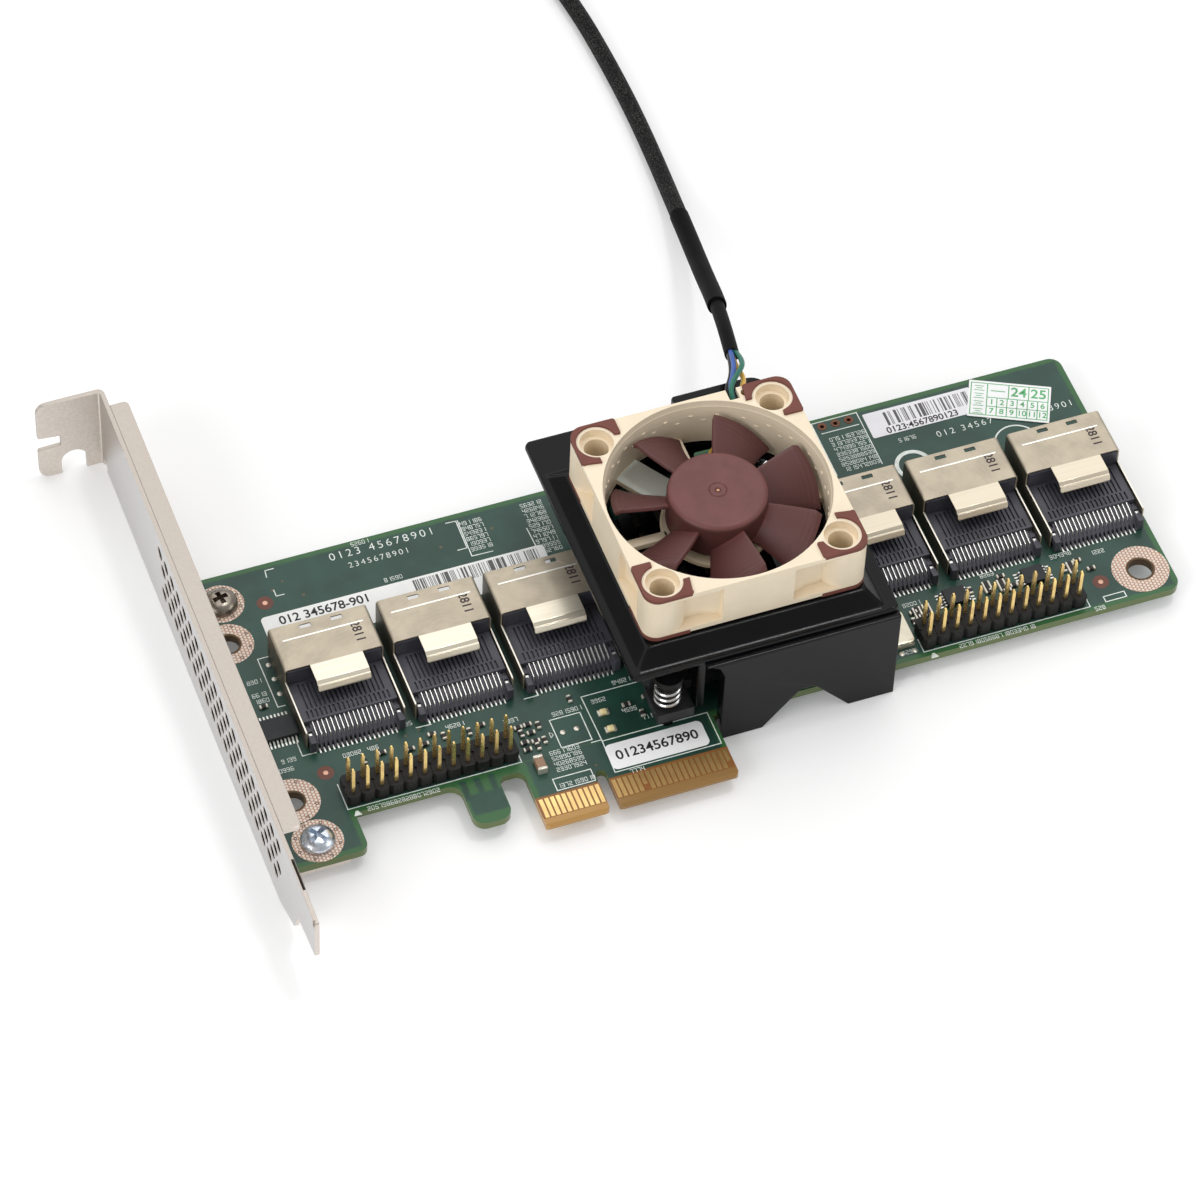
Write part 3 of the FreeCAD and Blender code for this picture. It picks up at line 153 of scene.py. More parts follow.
class Bench:
    """Hand tools: each makes or works on one new object in card millimetres."""

    @staticmethod
    def only(obj: Object) -> None:
        """Select one object and make it the active one.

        Args:
            obj: the object.
        """
        bpy.ops.object.select_all(action="DESELECT")
        obj.select_set(True)
        bpy.context.view_layer.objects.active = obj

    @staticmethod
    @contextmanager
    def editing(obj: Object) -> Iterator[None]:
        """Edit mode on one object with all of it selected.

        Args:
            obj: the mesh object to edit.

        Yields:
            Nothing; edit mode ends with the block.
        """
        Bench.only(obj)
        bpy.ops.object.mode_set(mode="EDIT")
        bpy.ops.mesh.select_all(action="SELECT")
        yield
        bpy.ops.object.mode_set(mode="OBJECT")

    @staticmethod
    def add(data: bpy.types.ID) -> Object:
        """Put new data into the scene.

        Args:
            data: a mesh, curve, camera or lamp.

        Returns:
            Its object, at the origin.
        """
        obj = bpy.data.objects.new(data.name, data)
        bpy.context.scene.collection.objects.link(obj)
        return obj

    @staticmethod
    def fresh(operator: Callable[..., set[str]], **settings: object) -> Object:
        """Run one adding operator with nothing else selected.

        Args:
            operator: the operator.
            settings: its settings by name.

        Returns:
            The object that it made.
        """
        bpy.ops.object.select_all(action="DESELECT")
        operator(**settings)
        return bpy.context.active_object

    @staticmethod
    def close(obj: Object) -> None:
        """Merge doubled points and turn all faces outwards."""
        with Bench.editing(obj):
            bpy.ops.mesh.remove_doubles(threshold=MERGE_GAP)
            bpy.ops.mesh.normals_make_consistent(inside=False)

    @staticmethod
    def thread(data: bpy.types.Curve, places: Sequence[Sequence[float]],
               smooth: bool = False) -> bpy.types.Spline:
        """Add one open spline to a curve.

        Args:
            data: the curve.
            places: the spline's points.
            smooth: bend smoothly near the points, instead of straight runs from point to point.

        Returns:
            The new spline.
        """
        spline = data.splines.new("NURBS" if smooth else "POLY")
        spline.points.add(len(places) - 1)
        for point, place in zip(spline.points, places):
            point.co = (*place, 1.0)
        if smooth:
            spline.order_u = 3
            spline.use_endpoint_u = True
        return spline

    @staticmethod
    def solid(data: bpy.types.Curve) -> Object:
        """The filled shape of a curve as a closed mesh object.

        Args:
            data: the curve with its thickness set.

        Returns:
            The mesh object.
        """
        obj = Bench.add(data)
        Bench.only(obj)
        bpy.ops.object.convert(target="MESH")
        Bench.close(obj)
        return obj

    @staticmethod
    def slab(outline: Outline, span: Span, axis: Axis = Axis.Z, holes: Sequence[Outline] = (),
             bevel: float = 0.0) -> Object:
        """Flat outline with holes, thickened and with eased edges.

        Args:
            outline: points of the outer edge.
            span: where the thickness starts and ends along the axis.
            axis: direction of the thickness.
            holes: points of each hole's edge.
            bevel: width of the eased edges.

        Returns:
            The closed mesh object.
        """
        data = bpy.data.curves.new("slab", "CURVE")
        data.dimensions = "2D"
        data.fill_mode = "BOTH"
        data.extrude = (span[1] - span[0]) / 2 - bevel
        data.bevel_depth = bevel
        data.bevel_resolution = 1
        data.offset = -bevel
        for loop in (outline, *holes):
            Bench.thread(data, [(*place, 0.0) for place in loop]).use_cyclic_u = True
        obj = Bench.solid(data)
        middle = (span[0] + span[1]) / 2
        shift = -middle if axis is Axis.Y else middle
        obj.data.transform(axis.matrix @ Matrix.Translation((0, 0, shift)))
        return obj

    @staticmethod
    def lathe(profile: Outline, steps: int = 48) -> Object:
        """Turn a profile about the upright axis.

        Args:
            profile: points of (radius, height).
            steps: straight pieces round the axis.

        Returns:
            The mesh object.
        """
        mesh = bpy.data.meshes.new("turned")
        mesh.from_pydata([(radius, 0.0, height) for radius, height in profile],
                         [(index, index + 1) for index in range(len(profile) - 1)], [])
        obj = Bench.add(mesh)
        with Bench.editing(obj):
            bpy.ops.mesh.spin(steps=steps, angle=2 * math.pi, center=(0, 0, 0), axis=(0, 0, 1))
        Bench.close(obj)
        return obj

    @staticmethod
    def block(x: Span, y: Span, z: Span, bevel: float = 0.1, steps: int = 2) -> Object:
        """Block between two positions along each axis.

        Args:
            x, y, z: where it starts and ends along each axis.
            bevel: width of the eased edges.
            steps: faces across each eased edge.

        Returns:
            The mesh object.
        """
        middle = [(span[0] + span[1]) / 2 for span in (x, y, z)]
        obj = Bench.fresh(bpy.ops.mesh.primitive_cube_add, size=1, location=middle)
        obj.scale = [span[1] - span[0] for span in (x, y, z)]
        bpy.ops.object.transform_apply(location=True, rotation=True, scale=True)
        with Bench.editing(obj):
            bpy.ops.mesh.bevel(offset=bevel, segments=steps, affect="EDGES")
        return obj

    @staticmethod
    def tube(points: Sequence[Sequence[float]], radius: float, sides: int, smooth: bool = False) -> Object:
        """Round bar that follows points.

        Args:
            points: places along the middle line.
            radius: the bar's radius.
            sides: fineness of the section.
            smooth: bend smoothly near the points, instead of straight runs.

        Returns:
            The mesh object with closed ends.
        """
        data = bpy.data.curves.new("tube", "CURVE")
        data.dimensions = "3D"
        data.bevel_depth = radius
        data.bevel_resolution = sides
        data.use_fill_caps = True
        Bench.thread(data, points, smooth)
        return Bench.solid(data)

    @staticmethod
    def text(words: str, size: float, at: Matrix, spread: float = 1.0, weight: float = 0.016) -> Object:
        """Plain numbers as a thin raised print.

        Args:
            words: the numbers.
            size: height of the type.
            at: place of the print's middle.
            spread: share by which the gaps widen.
            weight: share of the size by which the strokes thicken.

        Returns:
            The mesh object.
        """
        obj = Bench.fresh(bpy.ops.object.text_add)
        obj.data.body = words
        obj.data.size = size
        obj.data.align_x = "CENTER"
        obj.data.align_y = "CENTER"
        obj.data.extrude = 0.01
        obj.data.space_character = spread
        obj.data.offset = size * weight
        bpy.ops.object.convert(target="MESH")
        obj.data.transform(at)
        return obj

    @staticmethod
    def apply(obj: Object, kind: str, **settings: object) -> None:
        """Add one modifier and apply it.

        Args:
            obj: the mesh object.
            kind: the modifier's type.
            settings: its settings by name.
        """
        modifier = obj.modifiers.new(kind.lower(), kind)
        for name, value in settings.items():
            setattr(modifier, name, value)
        Bench.only(obj)
        bpy.ops.object.modifier_apply(modifier=modifier.name)

    @staticmethod
    def ease(obj: Object, width: float, angle: float = 35.0, segments: int = 2) -> None:
        """Bevel every edge that is sharper than an angle in degrees."""
        Bench.apply(obj, "BEVEL", width=width, segments=segments, limit_method="ANGLE",
                    angle_limit=math.radians(angle))

    @staticmethod
    def cut(obj: Object, *cutters: Object) -> None:
        """Take other shapes out of one, and use them up."""
        for cutter in cutters:
            Bench.apply(obj, "BOOLEAN", object=cutter, operation="DIFFERENCE", solver="EXACT")
            bpy.data.objects.remove(cutter)

    @staticmethod
    def join(*objects: Object) -> Object:
        """Several objects as one.

        Args:
            objects: what is joined; the first one stays.

        Returns:
            The first object, with all meshes in it.
        """
        bpy.ops.object.select_all(action="DESELECT")
        for obj in objects:
            obj.select_set(True)
        bpy.context.view_layer.objects.active = objects[0]
        bpy.ops.object.join()
        return objects[0]

    @staticmethod
    def repeat(obj: Object, places: Sequence[Matrix], keep: bool = False) -> Object:
        """Copies of one shape at several places as one new mesh.

        Args:
            obj: the shape, which is used up unless it is kept.
            places: where each copy goes.
            keep: leave the shape for further use.

        Returns:
            The object that holds all copies.
        """
        base = [vertex.co.copy() for vertex in obj.data.vertices]
        loops = [tuple(face.vertices) for face in obj.data.polygons]
        points: list[Vector] = []
        faces: list[tuple[int, ...]] = []
        for place in places:
            start = len(points)
            points += [place @ point for point in base]
            faces += [tuple(start + index for index in loop) for loop in loops]
        mesh = bpy.data.meshes.new("copies")
        mesh.from_pydata(points, [], faces)
        if not keep:
            bpy.data.objects.remove(obj)
        return Bench.add(mesh)

    @staticmethod
    def fold(obj: Object, along: int, start: float, radius: float, degrees: float,
             part: Callable[[Vector], bool] = lambda point: True) -> None:
        """Bend the far part of a flat sheet about a line.

        Args:
            obj: sheet that lies in the XY plane, its middle at height zero.
            along: axis that the bend turns away from, 0 for X and 1 for Y.
            start: where the bend starts; the sheet beyond it, away from zero, is bent.
            radius: bend radius at the sheet's middle.
            degrees: how far it turns, positive downwards.
            part: picks the points that may move.
        """
        way = 1.0 if start > 0 else -1.0
        total = math.radians(abs(degrees))
        down = -1.0 if degrees > 0 else 1.0
        length = radius * total
        normal = (1, 0, 0) if along == 0 else (0, 1, 0)
        for step in range(5):
            with Bench.editing(obj):
                place = Vector(normal) * (start + way * length * step / 4)
                bpy.ops.mesh.bisect(plane_co=place, plane_no=normal, threshold=1e-5)
        for vertex in obj.data.vertices:
            beyond = (vertex.co[along] - start) * way
            if beyond <= 1e-6 or not part(vertex.co):
                continue
            turn = min(beyond / radius, total)
            rest = max(0.0, beyond - length)
            height = vertex.co.z * down
            inner = radius - height
            vertex.co[along] = start + way * (inner * math.sin(turn) + rest * math.cos(turn))
            vertex.co.z = down * (radius - inner * math.cos(turn) + rest * math.sin(turn))

    @staticmethod
    def piece(obj: Object, name: str, slot: str, finish: "Finish", replaces: Sequence[str] = (),
              body: Body = Body.CARD, at: Matrix = ON_BOARD) -> Object:
        """Finish a piece: place, shading, material and what it rides on and stands for.

        Args:
            obj: the modelled mesh object.
            name: the piece's name.
            slot: the record's material slot; not used.
            finish: its surface.
            replaces: CAD nodes that it stands for.
            body: body that it moves with.
            at: place on the card in millimetres.

        Returns:
            The finished object.
        """
        obj.data.transform(TO_ROW @ at)
        obj.name = name
        obj.data.name = name
        obj.data.materials.clear()
        obj.data.materials.append(finish.material())
        Bench.only(obj)
        bpy.ops.object.shade_smooth_by_angle(angle=SHARP_ANGLE)
        Bench.apply(obj, "WEIGHTED_NORMAL", keep_sharp=True, weight=80)
        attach(obj, body.value)
        if replaces:
            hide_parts(*replaces)
        LOG.info("piece %s: %d faces", name, len(obj.data.polygons))
        return obj


def tint(shade: Shade, gain: float = 1.0) -> tuple[float, float, float, float]:
    """Linear colour of a shade of 0 to 255, made lighter or darker by a gain."""
    parts = [((value / 255 + 0.055) / 1.055) ** 2.4 if value > 10 else value / 3295 for value in shade]
    return (*(min(1.0, part * gain) for part in parts), 1.0)


class Flow:
    """A shader value that Python arithmetic extends with Math nodes."""

    def __init__(self, recipe: "Recipe", socket: bpy.types.NodeSocket) -> None:
        """Wrap one output socket of a recipe."""
        self.recipe = recipe
        self.socket = socket

    def math(self, operation: str, *others: object) -> "Flow":
        """One Math node with this value first."""
        values = dict(enumerate((self, *others)))
        return self.recipe.node("ShaderNodeMath", {"operation": operation}, values)

    def part(self, output: int | str) -> "Flow":
        """Another output of the same node."""
        return Flow(self.recipe, self.socket.node.outputs[output])

    def __add__(self, other: object) -> "Flow":
        """Sum."""
        return self.math("ADD", other)

    def __sub__(self, other: object) -> "Flow":
        """Difference."""
        return self.math("SUBTRACT", other)

    def __rsub__(self, other: object) -> "Flow":
        """Difference with this value second."""
        return self.recipe.node("ShaderNodeMath", {"operation": "SUBTRACT"}, {0: other, 1: self})

    def __mul__(self, other: object) -> "Flow":
        """Product."""
        return self.math("MULTIPLY", other)

    __radd__ = __add__
    __rmul__ = __mul__

    def __truediv__(self, other: object) -> "Flow":
        """Quotient."""
        return self.math("DIVIDE", other)

    def low(self, other: object) -> "Flow":
        """The smaller of two values."""
        return self.math("MINIMUM", other)

    def high(self, other: object) -> "Flow":
        """The larger of two values."""
        return self.math("MAXIMUM", other)

    def step(self, start: float, stop: float) -> "Flow":
        """Smooth rise from 0 at the start to 1 at the stop."""
        return self.recipe.node("ShaderNodeMapRange", {"interpolation_type": "SMOOTHSTEP"},
                                {"Value": self, "From Min": start, "From Max": stop})


class Recipe:
    """Nodes of one material, all added by one method."""

    def __init__(self, name: str) -> None:
        """Start a material with one surface shader.

        Args:
            name: the material's name.
        """
        self.material = bpy.data.materials.new(name)
        self.material.use_nodes = True
        self.tree = self.material.node_tree
        self.tree.nodes.clear()
        self.shader = self.tree.nodes.new("ShaderNodeBsdfPrincipled")
        output = self.tree.nodes.new("ShaderNodeOutputMaterial")
        self.tree.links.new(self.shader.outputs[0], output.inputs[0])

    def node(self, kind: str, settings: dict | None = None, inputs: dict | None = None,
             output: int | str = 0) -> Flow:
        """Add one node.

        Args:
            kind: the node's type.
            settings: its own settings, set first.
            inputs: constants or flows by socket.
            output: which output is used.

        Returns:
            The output as a flow.
        """
        node = self.tree.nodes.new(kind)
        for name, value in (settings or {}).items():
            setattr(node, name, value)
        for name, value in (inputs or {}).items():
            self.feed(node.inputs[name], value)
        return Flow(self, node.outputs[output])

    def feed(self, socket: bpy.types.NodeSocket, value: object) -> None:
        """Link a flow to a socket, or set a constant on it."""
        if isinstance(value, Flow):
            self.tree.links.new(value.socket, socket)
        else:
            socket.default_value = value

    def card(self) -> Flow:
        """Position on the card in millimetres."""
        place = self.node("ShaderNodeTexCoord", output="Object")
        return self.node("ShaderNodeVectorMath", {"operation": "MULTIPLY_ADD"},
                         {0: place, 1: (1000.0,) * 3, 2: tuple(ORIGIN)})

    def parts(self, vector: Flow) -> tuple[Flow, Flow, Flow]:
        """The three parts of a vector."""
        first = self.node("ShaderNodeSeparateXYZ", {}, {0: vector})
        return first, first.part(1), first.part(2)

    def noise(self, place: Flow, size: float, detail: float = 2.0) -> Flow:
        """Cloudy noise with features of a size in millimetres."""
        return self.node("ShaderNodeTexNoise", {}, {"Vector": place, "Scale": 1 / size, "Detail": detail})

    def blend(self, share: object, first: object, second: object) -> Flow:
        """Mix of two colours."""
        return self.node("ShaderNodeMix", {"data_type": "RGBA"}, {0: share, 6: first, 7: second}, 2)

    def stretched(self, place: Flow, x: float, y: float, z: float) -> Flow:
        """A position scaled along each axis."""
        return self.node("ShaderNodeVectorMath", {"operation": "MULTIPLY"}, {0: place, 1: (x, y, z)})

    def wave(self, place: Flow, scale: float, distortion: float = 0.0, detail: float = 2.0,
             **settings: str) -> Flow:
        """Waves of 0 to 1 across a position; the settings are their type and direction."""
        return self.node("ShaderNodeTexWave", settings, {
            "Vector": place, "Scale": scale, "Distortion": distortion, "Detail": detail}, "Fac")

    def facing(self) -> tuple[Flow, Flow, Flow]:
        """The three parts of the surface's own direction."""
        return self.parts(self.node("ShaderNodeNewGeometry", output="Normal"))

    def dress(self, colour: object, rough: object, metal: object, height: Flow | None = None,
              relief: float = 0.0, **constants: float) -> None:
        """Feed the surface shader.

        Args:
            colour: base colour.
            rough: roughness.
            metal: metallic share.
            height: relief as values of 0 to 1.
            relief: height of the relief in millimetres.
            constants: other sockets by name, with underscores for spaces.
        """
        for name, value in (("Base Color", colour), ("Roughness", rough), ("Metallic", metal)):
            self.feed(self.shader.inputs[name], value)
        if height is not None:
            bump = self.node("ShaderNodeBump", {}, {
                "Strength": 1.0, "Distance": relief / 1000, "Height": height})
            self.feed(self.shader.inputs["Normal"], bump)
        for name, value in constants.items():
            self.shader.inputs[name.replace("_", " ")].default_value = value


@dataclass(frozen=True)
class Finish:
    """A surface: its shade, gloss and fine relief, with sizes in millimetres."""
    name: str
    shade: Shade
    rough: float
    metal: float = 0.0
    mottle: float = 0.1
    mottle_size: float = 4.0
    grain: float = 0.01
    grain_size: float = 0.25
    coat: float = 0.0
    sheen: float = 0.5
    stretch: Spot = (1.0, 1.0, 1.0)

    def material(self) -> bpy.types.Material:
        """The finish's material, made on first use."""
        made = bpy.data.materials.get(self.name)
        if made is None:
            recipe = Recipe(self.name)
            self.mix(recipe, recipe.card())
            made = recipe.material
        return made

    def tone(self, recipe: Recipe, place: Flow) -> Flow:
        """The shade with its cloudy variation."""
        cloud = recipe.noise(place, self.mottle_size, 3.0).step(0.3, 0.7)
        return recipe.blend(cloud, tint(self.shade, 1 - self.mottle), tint(self.shade, 1 + self.mottle))

    def colour(self, recipe: Recipe, place: Flow) -> Flow:
        """Base colour; finishes with a pattern extend it."""
        return self.tone(recipe, place)

    def gloss(self, recipe: Recipe, place: Flow, fine: Flow) -> Flow:
        """Roughness, uneven with the grain and with faint smears."""
        smear = recipe.noise(place, self.mottle_size * 1.7, 2.0)
        return fine * 0.12 + smear * 0.16 + (self.rough - 0.14)

    def relief(self, recipe: Recipe, place: Flow, fine: Flow) -> Flow:
        """Height of the fine relief."""
        return fine

    def mix(self, recipe: Recipe, place: Flow) -> None:
        """Add the nodes that make the surface.

        Args:
            recipe: the material's nodes.
            place: position on the card.
        """
        fine = recipe.noise(recipe.stretched(place, *self.stretch), self.grain_size)
        recipe.dress(self.colour(recipe, place), self.gloss(recipe, place, fine), self.metal,
                     self.relief(recipe, place, fine), self.grain,
                     Coat_Weight=self.coat, Coat_Roughness=0.12, Specular_IOR_Level=self.sheen)


@dataclass(frozen=True)
class BoardFinish(Finish):
    """Green solder mask over copper planes, brighter rim and sides, bare tongues."""
    rim: Shade = (50, 98, 54)
    side: Shade = (74, 100, 52)
    bare: Shade = (184, 140, 78)
    bare_dark: Shade = (140, 90, 42)
    via: Shade = (112, 92, 60)
    ply: Shade = (150, 150, 84)
    copper: tuple[tuple[Span, Span], ...] = (
        ((-44.5, 121.1), (13.1, 68.9)), ((-44.5, -30.3), (5.3, 16.0)), ((-12.4, -4.3), (5.0, 11.2)),
        ((-0.75, 33.75), (5.0, 15.0)))
    hook_bars: tuple[float, ...] = (-11.5, -9.0, -6.5)

    def inside(self, x: Flow, y: Flow, across: Span, along: Span) -> Flow:
        """Distance inwards from the nearest side of a rectangle."""
        return (x - across[0]).low(across[1] - x).low(y - along[0]).low(along[1] - y)

    def colour(self, recipe: Recipe, place: Flow) -> Flow:
        """Mask colour by distance from the outline, with traces and dots.

        Args:
            recipe: the material's nodes.
            place: position on the card.

        Returns:
            The base colour.
        """
        x, y, _ = recipe.parts(place)
        flat = recipe.facing()[2].math("ABSOLUTE").step(0.35, 0.6)
        layers = recipe.wave(place, 1.1, 0.6, bands_direction="Z")
        edge = recipe.blend(layers * 0.35, tint(self.side), tint(self.ply))
        mask = recipe.blend(self.plane(recipe, place), tint(self.rim), self.mask(recipe, place))
        mask = recipe.blend(flat, edge, mask)
        tongue = (y.step(6.25, 6.0) * x.step(-1.2, -0.9)).low(x.step(34.2, 33.9))
        worn = recipe.blend(x.step(10.5, 12.4), tint(self.bare), tint(self.bare, 0.62))
        gaps = (y.step(1.5, 1.75) * flat).low(1.0)
        laminate = recipe.blend(gaps, worn, tint(self.bare_dark))
        return recipe.blend(tongue, mask, laminate)

    def plane(self, recipe: Recipe, place: Flow) -> Flow:
        """Where copper lies under the mask.

        Args:
            recipe: the material's nodes.
            place: position on the card.

        Returns:
            A mask that fades towards the rim.
        """
        x, y, _ = recipe.parts(place)
        depth = self.inside(x, y, *self.copper[0])
        for across, along in self.copper[1:]:
            depth = depth.high(self.inside(x, y, across, along))
        for left in self.hook_bars:
            depth = depth.high(self.inside(x, y, (left, left + 0.6), (9.6, 13.2)) + 1.2)
        return (depth + recipe.noise(place, 1.4) * 0.5).step(0.9, 1.5)

    def mask(self, recipe: Recipe, place: Flow) -> Flow:
        """Green over the copper.

        Args:
            recipe: the material's nodes.
            place: position on the card.

        Returns:
            The colour with faint traces and scattered plated dots.
        """
        traces = recipe.wave(place, 0.55, 3.0, 1.0, bands_direction="DIAGONAL")
        runs = traces.step(0.7, 0.9) * recipe.noise(place, 9.0).step(0.5, 0.62)
        green = recipe.blend(runs * 0.14, self.tone(recipe, place), tint(self.shade, 1.5))
        flattened = recipe.stretched(place, 1, 1, 0)
        cells = recipe.node("ShaderNodeTexVoronoi", {}, {"Vector": flattened, "Scale": 0.42})
        pick = recipe.parts(cells.part("Color"))[0].step(0.72, 0.74)
        dots = cells.step(0.16, 0.1) * pick
        return recipe.blend(dots * 0.7, green, tint(self.via))


@dataclass(frozen=True)
class PadFinish(Finish):
    """Bare copper ring with a close grid of pale dots."""
    pitch: float = 0.62
    dot: Shade = (222, 213, 203)

    def colour(self, recipe: Recipe, place: Flow) -> Flow:
        """Copper shade with the dots on it.

        Args:
            recipe: the material's nodes.
            place: position on the card.

        Returns:
            The base colour.
        """
        x, y, _ = recipe.parts(place)
        column = (x / self.pitch).math("FRACT") - 0.5
        row = (y / self.pitch + (x / self.pitch).math("FLOOR") * 0.5).math("FRACT") - 0.5
        dots = (column * column + row * row).math("SQRT").step(0.44, 0.34)
        return recipe.blend(dots, self.tone(recipe, place), tint(self.dot))


@dataclass(frozen=True)
class ContactFinish(Finish):
    """Gold contacts, bright on the near tongue and tarnished on the other."""
    tarnish: Shade = (186, 148, 92)

    def colour(self, recipe: Recipe, place: Flow) -> Flow:
        """Gold that darkens past the key, with scuffed streaks along the contacts.

        Args:
            recipe: the material's nodes.
            place: position on the card.

        Returns:
            The base colour.
        """
        x = recipe.parts(place)[0]
        streaks = recipe.noise(recipe.stretched(place, 6.0, 0.4, 1.0), 1.0)
        old = (x.step(10.5, 13.0) * 0.75 + streaks.step(0.5, 0.75) * 0.35).low(1.0)
        return recipe.blend(old, self.tone(recipe, place), tint(self.tarnish))


@dataclass(frozen=True)
class ShellFinish(Finish):
    """Satin nickel sheet with painted shade on its upright sides and painted highlights on the leaf, the
    ridge and the side strips' edges; the leaf is also smoother.
    """
    # Painted highlight colours: the leaf, brighter on the ports further left; the side strips' edges; the
    # ridge's top
    leaf_highlight: Shade = (250, 241, 220)
    plain: Shade = (228, 216, 194)
    strip: Shade = (252, 246, 232)
    ridge: Shade = (255, 252, 244)
    leaf_edge: float = 40.15
    top: float = 11.27

    def leaf(self, recipe: Recipe, place: Flow) -> Flow:
        """Mask of the leaf, which is smoother and carries a painted highlight."""
        _, y, z = recipe.parts(place)
        return y.step(self.leaf_edge, self.leaf_edge - 0.15) * z.step(8.6, 8.8)

    def colour(self, recipe: Recipe, place: Flow) -> Flow:
        """Warm nickel with faint polishing swirls, painted shade on the upright sides and painted highlights
        on the strips' edges, the leaf and the ridge.

        Args:
            recipe: the material's nodes.
            place: position on the card.

        Returns:
            The base colour.
        """
        swirl = recipe.wave(place, 0.32, 9.0, wave_type="RINGS", rings_direction="SPHERICAL")
        swirl = swirl.step(0.55, 0.95) * 0.14
        sheet = recipe.blend(swirl, self.tone(recipe, place), tint(self.shade, 1.18))
        across, _, upwards = recipe.facing()
        # Painted shade: faces turned sideways take a near-black copy of the sheet's shade
        walls = across.math("ABSOLUTE").step(0.7, 0.98) * 0.8
        sheet = recipe.blend(walls, sheet, tint(self.shade, 0.16))
        x, y, z = recipe.parts(place)
        front = y.step(self.leaf_edge, self.leaf_edge - 0.15)
        # Painted highlight: upward faces of the side strips in front of the leaf take a near-white shade
        edges = front * z.step(8.4, 8.2) * upwards.step(0.5, 0.9)
        sheet = recipe.blend(edges, sheet, tint(self.strip))
        lines = recipe.noise(recipe.stretched(place, 0.03, 6.0, 6.0), 1.0).step(0.35, 0.65)
        # Painted highlight: the leaf is brighter than the sheet, most on the ports further left, fading to a
        # plainer bright shade on the right
        leaf = recipe.blend(x.step(20.0, 70.0), tint(self.leaf_highlight), tint(self.plain))
        leaf = recipe.blend(lines * 0.3, leaf, tint(self.plain, 0.8))
        sheet = recipe.blend(self.leaf(recipe, place), sheet, leaf)
        # Painted highlight: the ridge's top takes a near-white shade
        return recipe.blend(z.step(self.top + 0.01, self.top + 0.03), sheet, tint(self.ridge))

    def relief(self, recipe: Recipe, place: Flow, fine: Flow) -> Flow:
        """Grain on the sheet only."""
        return fine * (1.0 - self.leaf(recipe, place))

    def gloss(self, recipe: Recipe, place: Flow, fine: Flow) -> Flow:
        """Matte sheet, smoother on the leaf."""
        leaf = self.leaf(recipe, place)
        return Finish.gloss(self, recipe, place, fine) * (1.0 - leaf) + leaf * 0.3


@dataclass(frozen=True)
class BracketFinish(Finish):
    """Nickel sheet with painted light: painted shade inside the vents, a painted reflection of the screw tab
    that darkens the plate towards the tab's fold, and painted tones on the plate's face and on upward faces.
    """
    # Painted tones: the vents' dark walls, the plate face's own tone, the screw tab's reflection in it and
    # the darker upward faces
    hollow: Shade = (26, 22, 19)
    plate: Shade = (206, 204, 203)
    tab_reflection: Shade = (182, 175, 168)
    upper: Shade = (192, 183, 174)

    def colour(self, recipe: Recipe, place: Flow) -> Flow:
        """Sheet colour with painted light: a cooler painted tone on the plate's face, the screw tab's painted
        reflection in it, a darker painted tone on upward faces and painted shade in the vents.

        Args:
            recipe: the material's nodes.
            place: position on the card.

        Returns:
            The base colour.
        """
        x, y, z = recipe.parts(place)
        across, _, upwards = recipe.facing()
        facing = across.math("ABSOLUTE")
        # Painted shade: the vent holes' walls turn dark, more so deeper in the sheet than at its face
        walls = facing.step(0.7, 0.5).low(x.step(-45.9, -46.0))
        walls = walls.low(y.step(1.0, 1.2)).low(y.step(73.2, 73.0))
        walls = walls.low(z.step(3.7, 3.9)).low(z.step(17.5, 17.3))
        # Painted light: the plate's outer face gets its own cooler tone, darkened towards the screw tab as a
        # painted reflection of the tab
        flat = facing.step(0.7, 0.9) * x.step(-46.5, -46.8)
        tab_reflection_share = (y + z * 0.74).step(102.0, 106.0)
        speck = recipe.noise(place, 0.35)
        # Painted shade: faces turned upwards, such as the flange's top, take a darker speckled copy of the
        # sheet's tone
        above = recipe.blend(speck, tint(self.upper, 0.9), tint(self.upper, 1.1))
        sheet = recipe.blend(upwards.step(0.7, 0.95), self.tone(recipe, place), above)
        sheet = recipe.blend(flat, sheet, recipe.blend(tab_reflection_share, tint(self.plate), tint(self.tab_reflection)))
        return recipe.blend(walls * x.step(-46.76, -46.64), sheet, tint(self.hollow))


@dataclass(frozen=True)
class RotorFinish(Finish):
    """Matte plastic with painted shade that makes the blades, with darker rings near their tips, and the
    hub's wall darker than the hub's top.
    """
    # Painted shade: the blades are one moulding with the hub, and their darker tone stands for their shade
    blade: Shade = (94, 56, 54)
    hub_radius: float = 8.8

    def colour(self, recipe: Recipe, place: Flow) -> Flow:
        """Colour by distance from the axis, with painted shade on the blades and the hub's wall.

        Args:
            recipe: the material's nodes.
            place: position on the card.

        Returns:
            The base colour.
        """
        x, y, _ = recipe.parts(place)
        away_x = x - FAN_MIDDLE[0]
        away_y = y - FAN_MIDDLE[1]
        away = (away_x * away_x + away_y * away_y).math("SQRT")
        share = away.step(self.hub_radius, self.hub_radius + 0.8)
        from_axis = recipe.node("ShaderNodeCombineXYZ", {}, {0: away_x, 1: away_y})
        rings = recipe.wave(from_axis, 0.35, wave_type="RINGS", rings_direction="Z")
        # Painted shade: darker rings near the tips stand for the shade between the blades' ridges
        streaks = rings.step(0.7, 1.0) * away.step(14.0, 16.0) * 0.35
        blade = recipe.blend(streaks, tint(self.blade), tint(self.blade, 0.55))
        whole = recipe.blend(share, self.tone(recipe, place), blade)
        # Painted shade: the hub's upright wall takes a dark copy of the blade tone
        wall = recipe.facing()[2].step(0.7, 0.3) * away.step(10.2, 9.8) * 0.6
        return recipe.blend(wall, whole, tint(self.blade, 0.4))


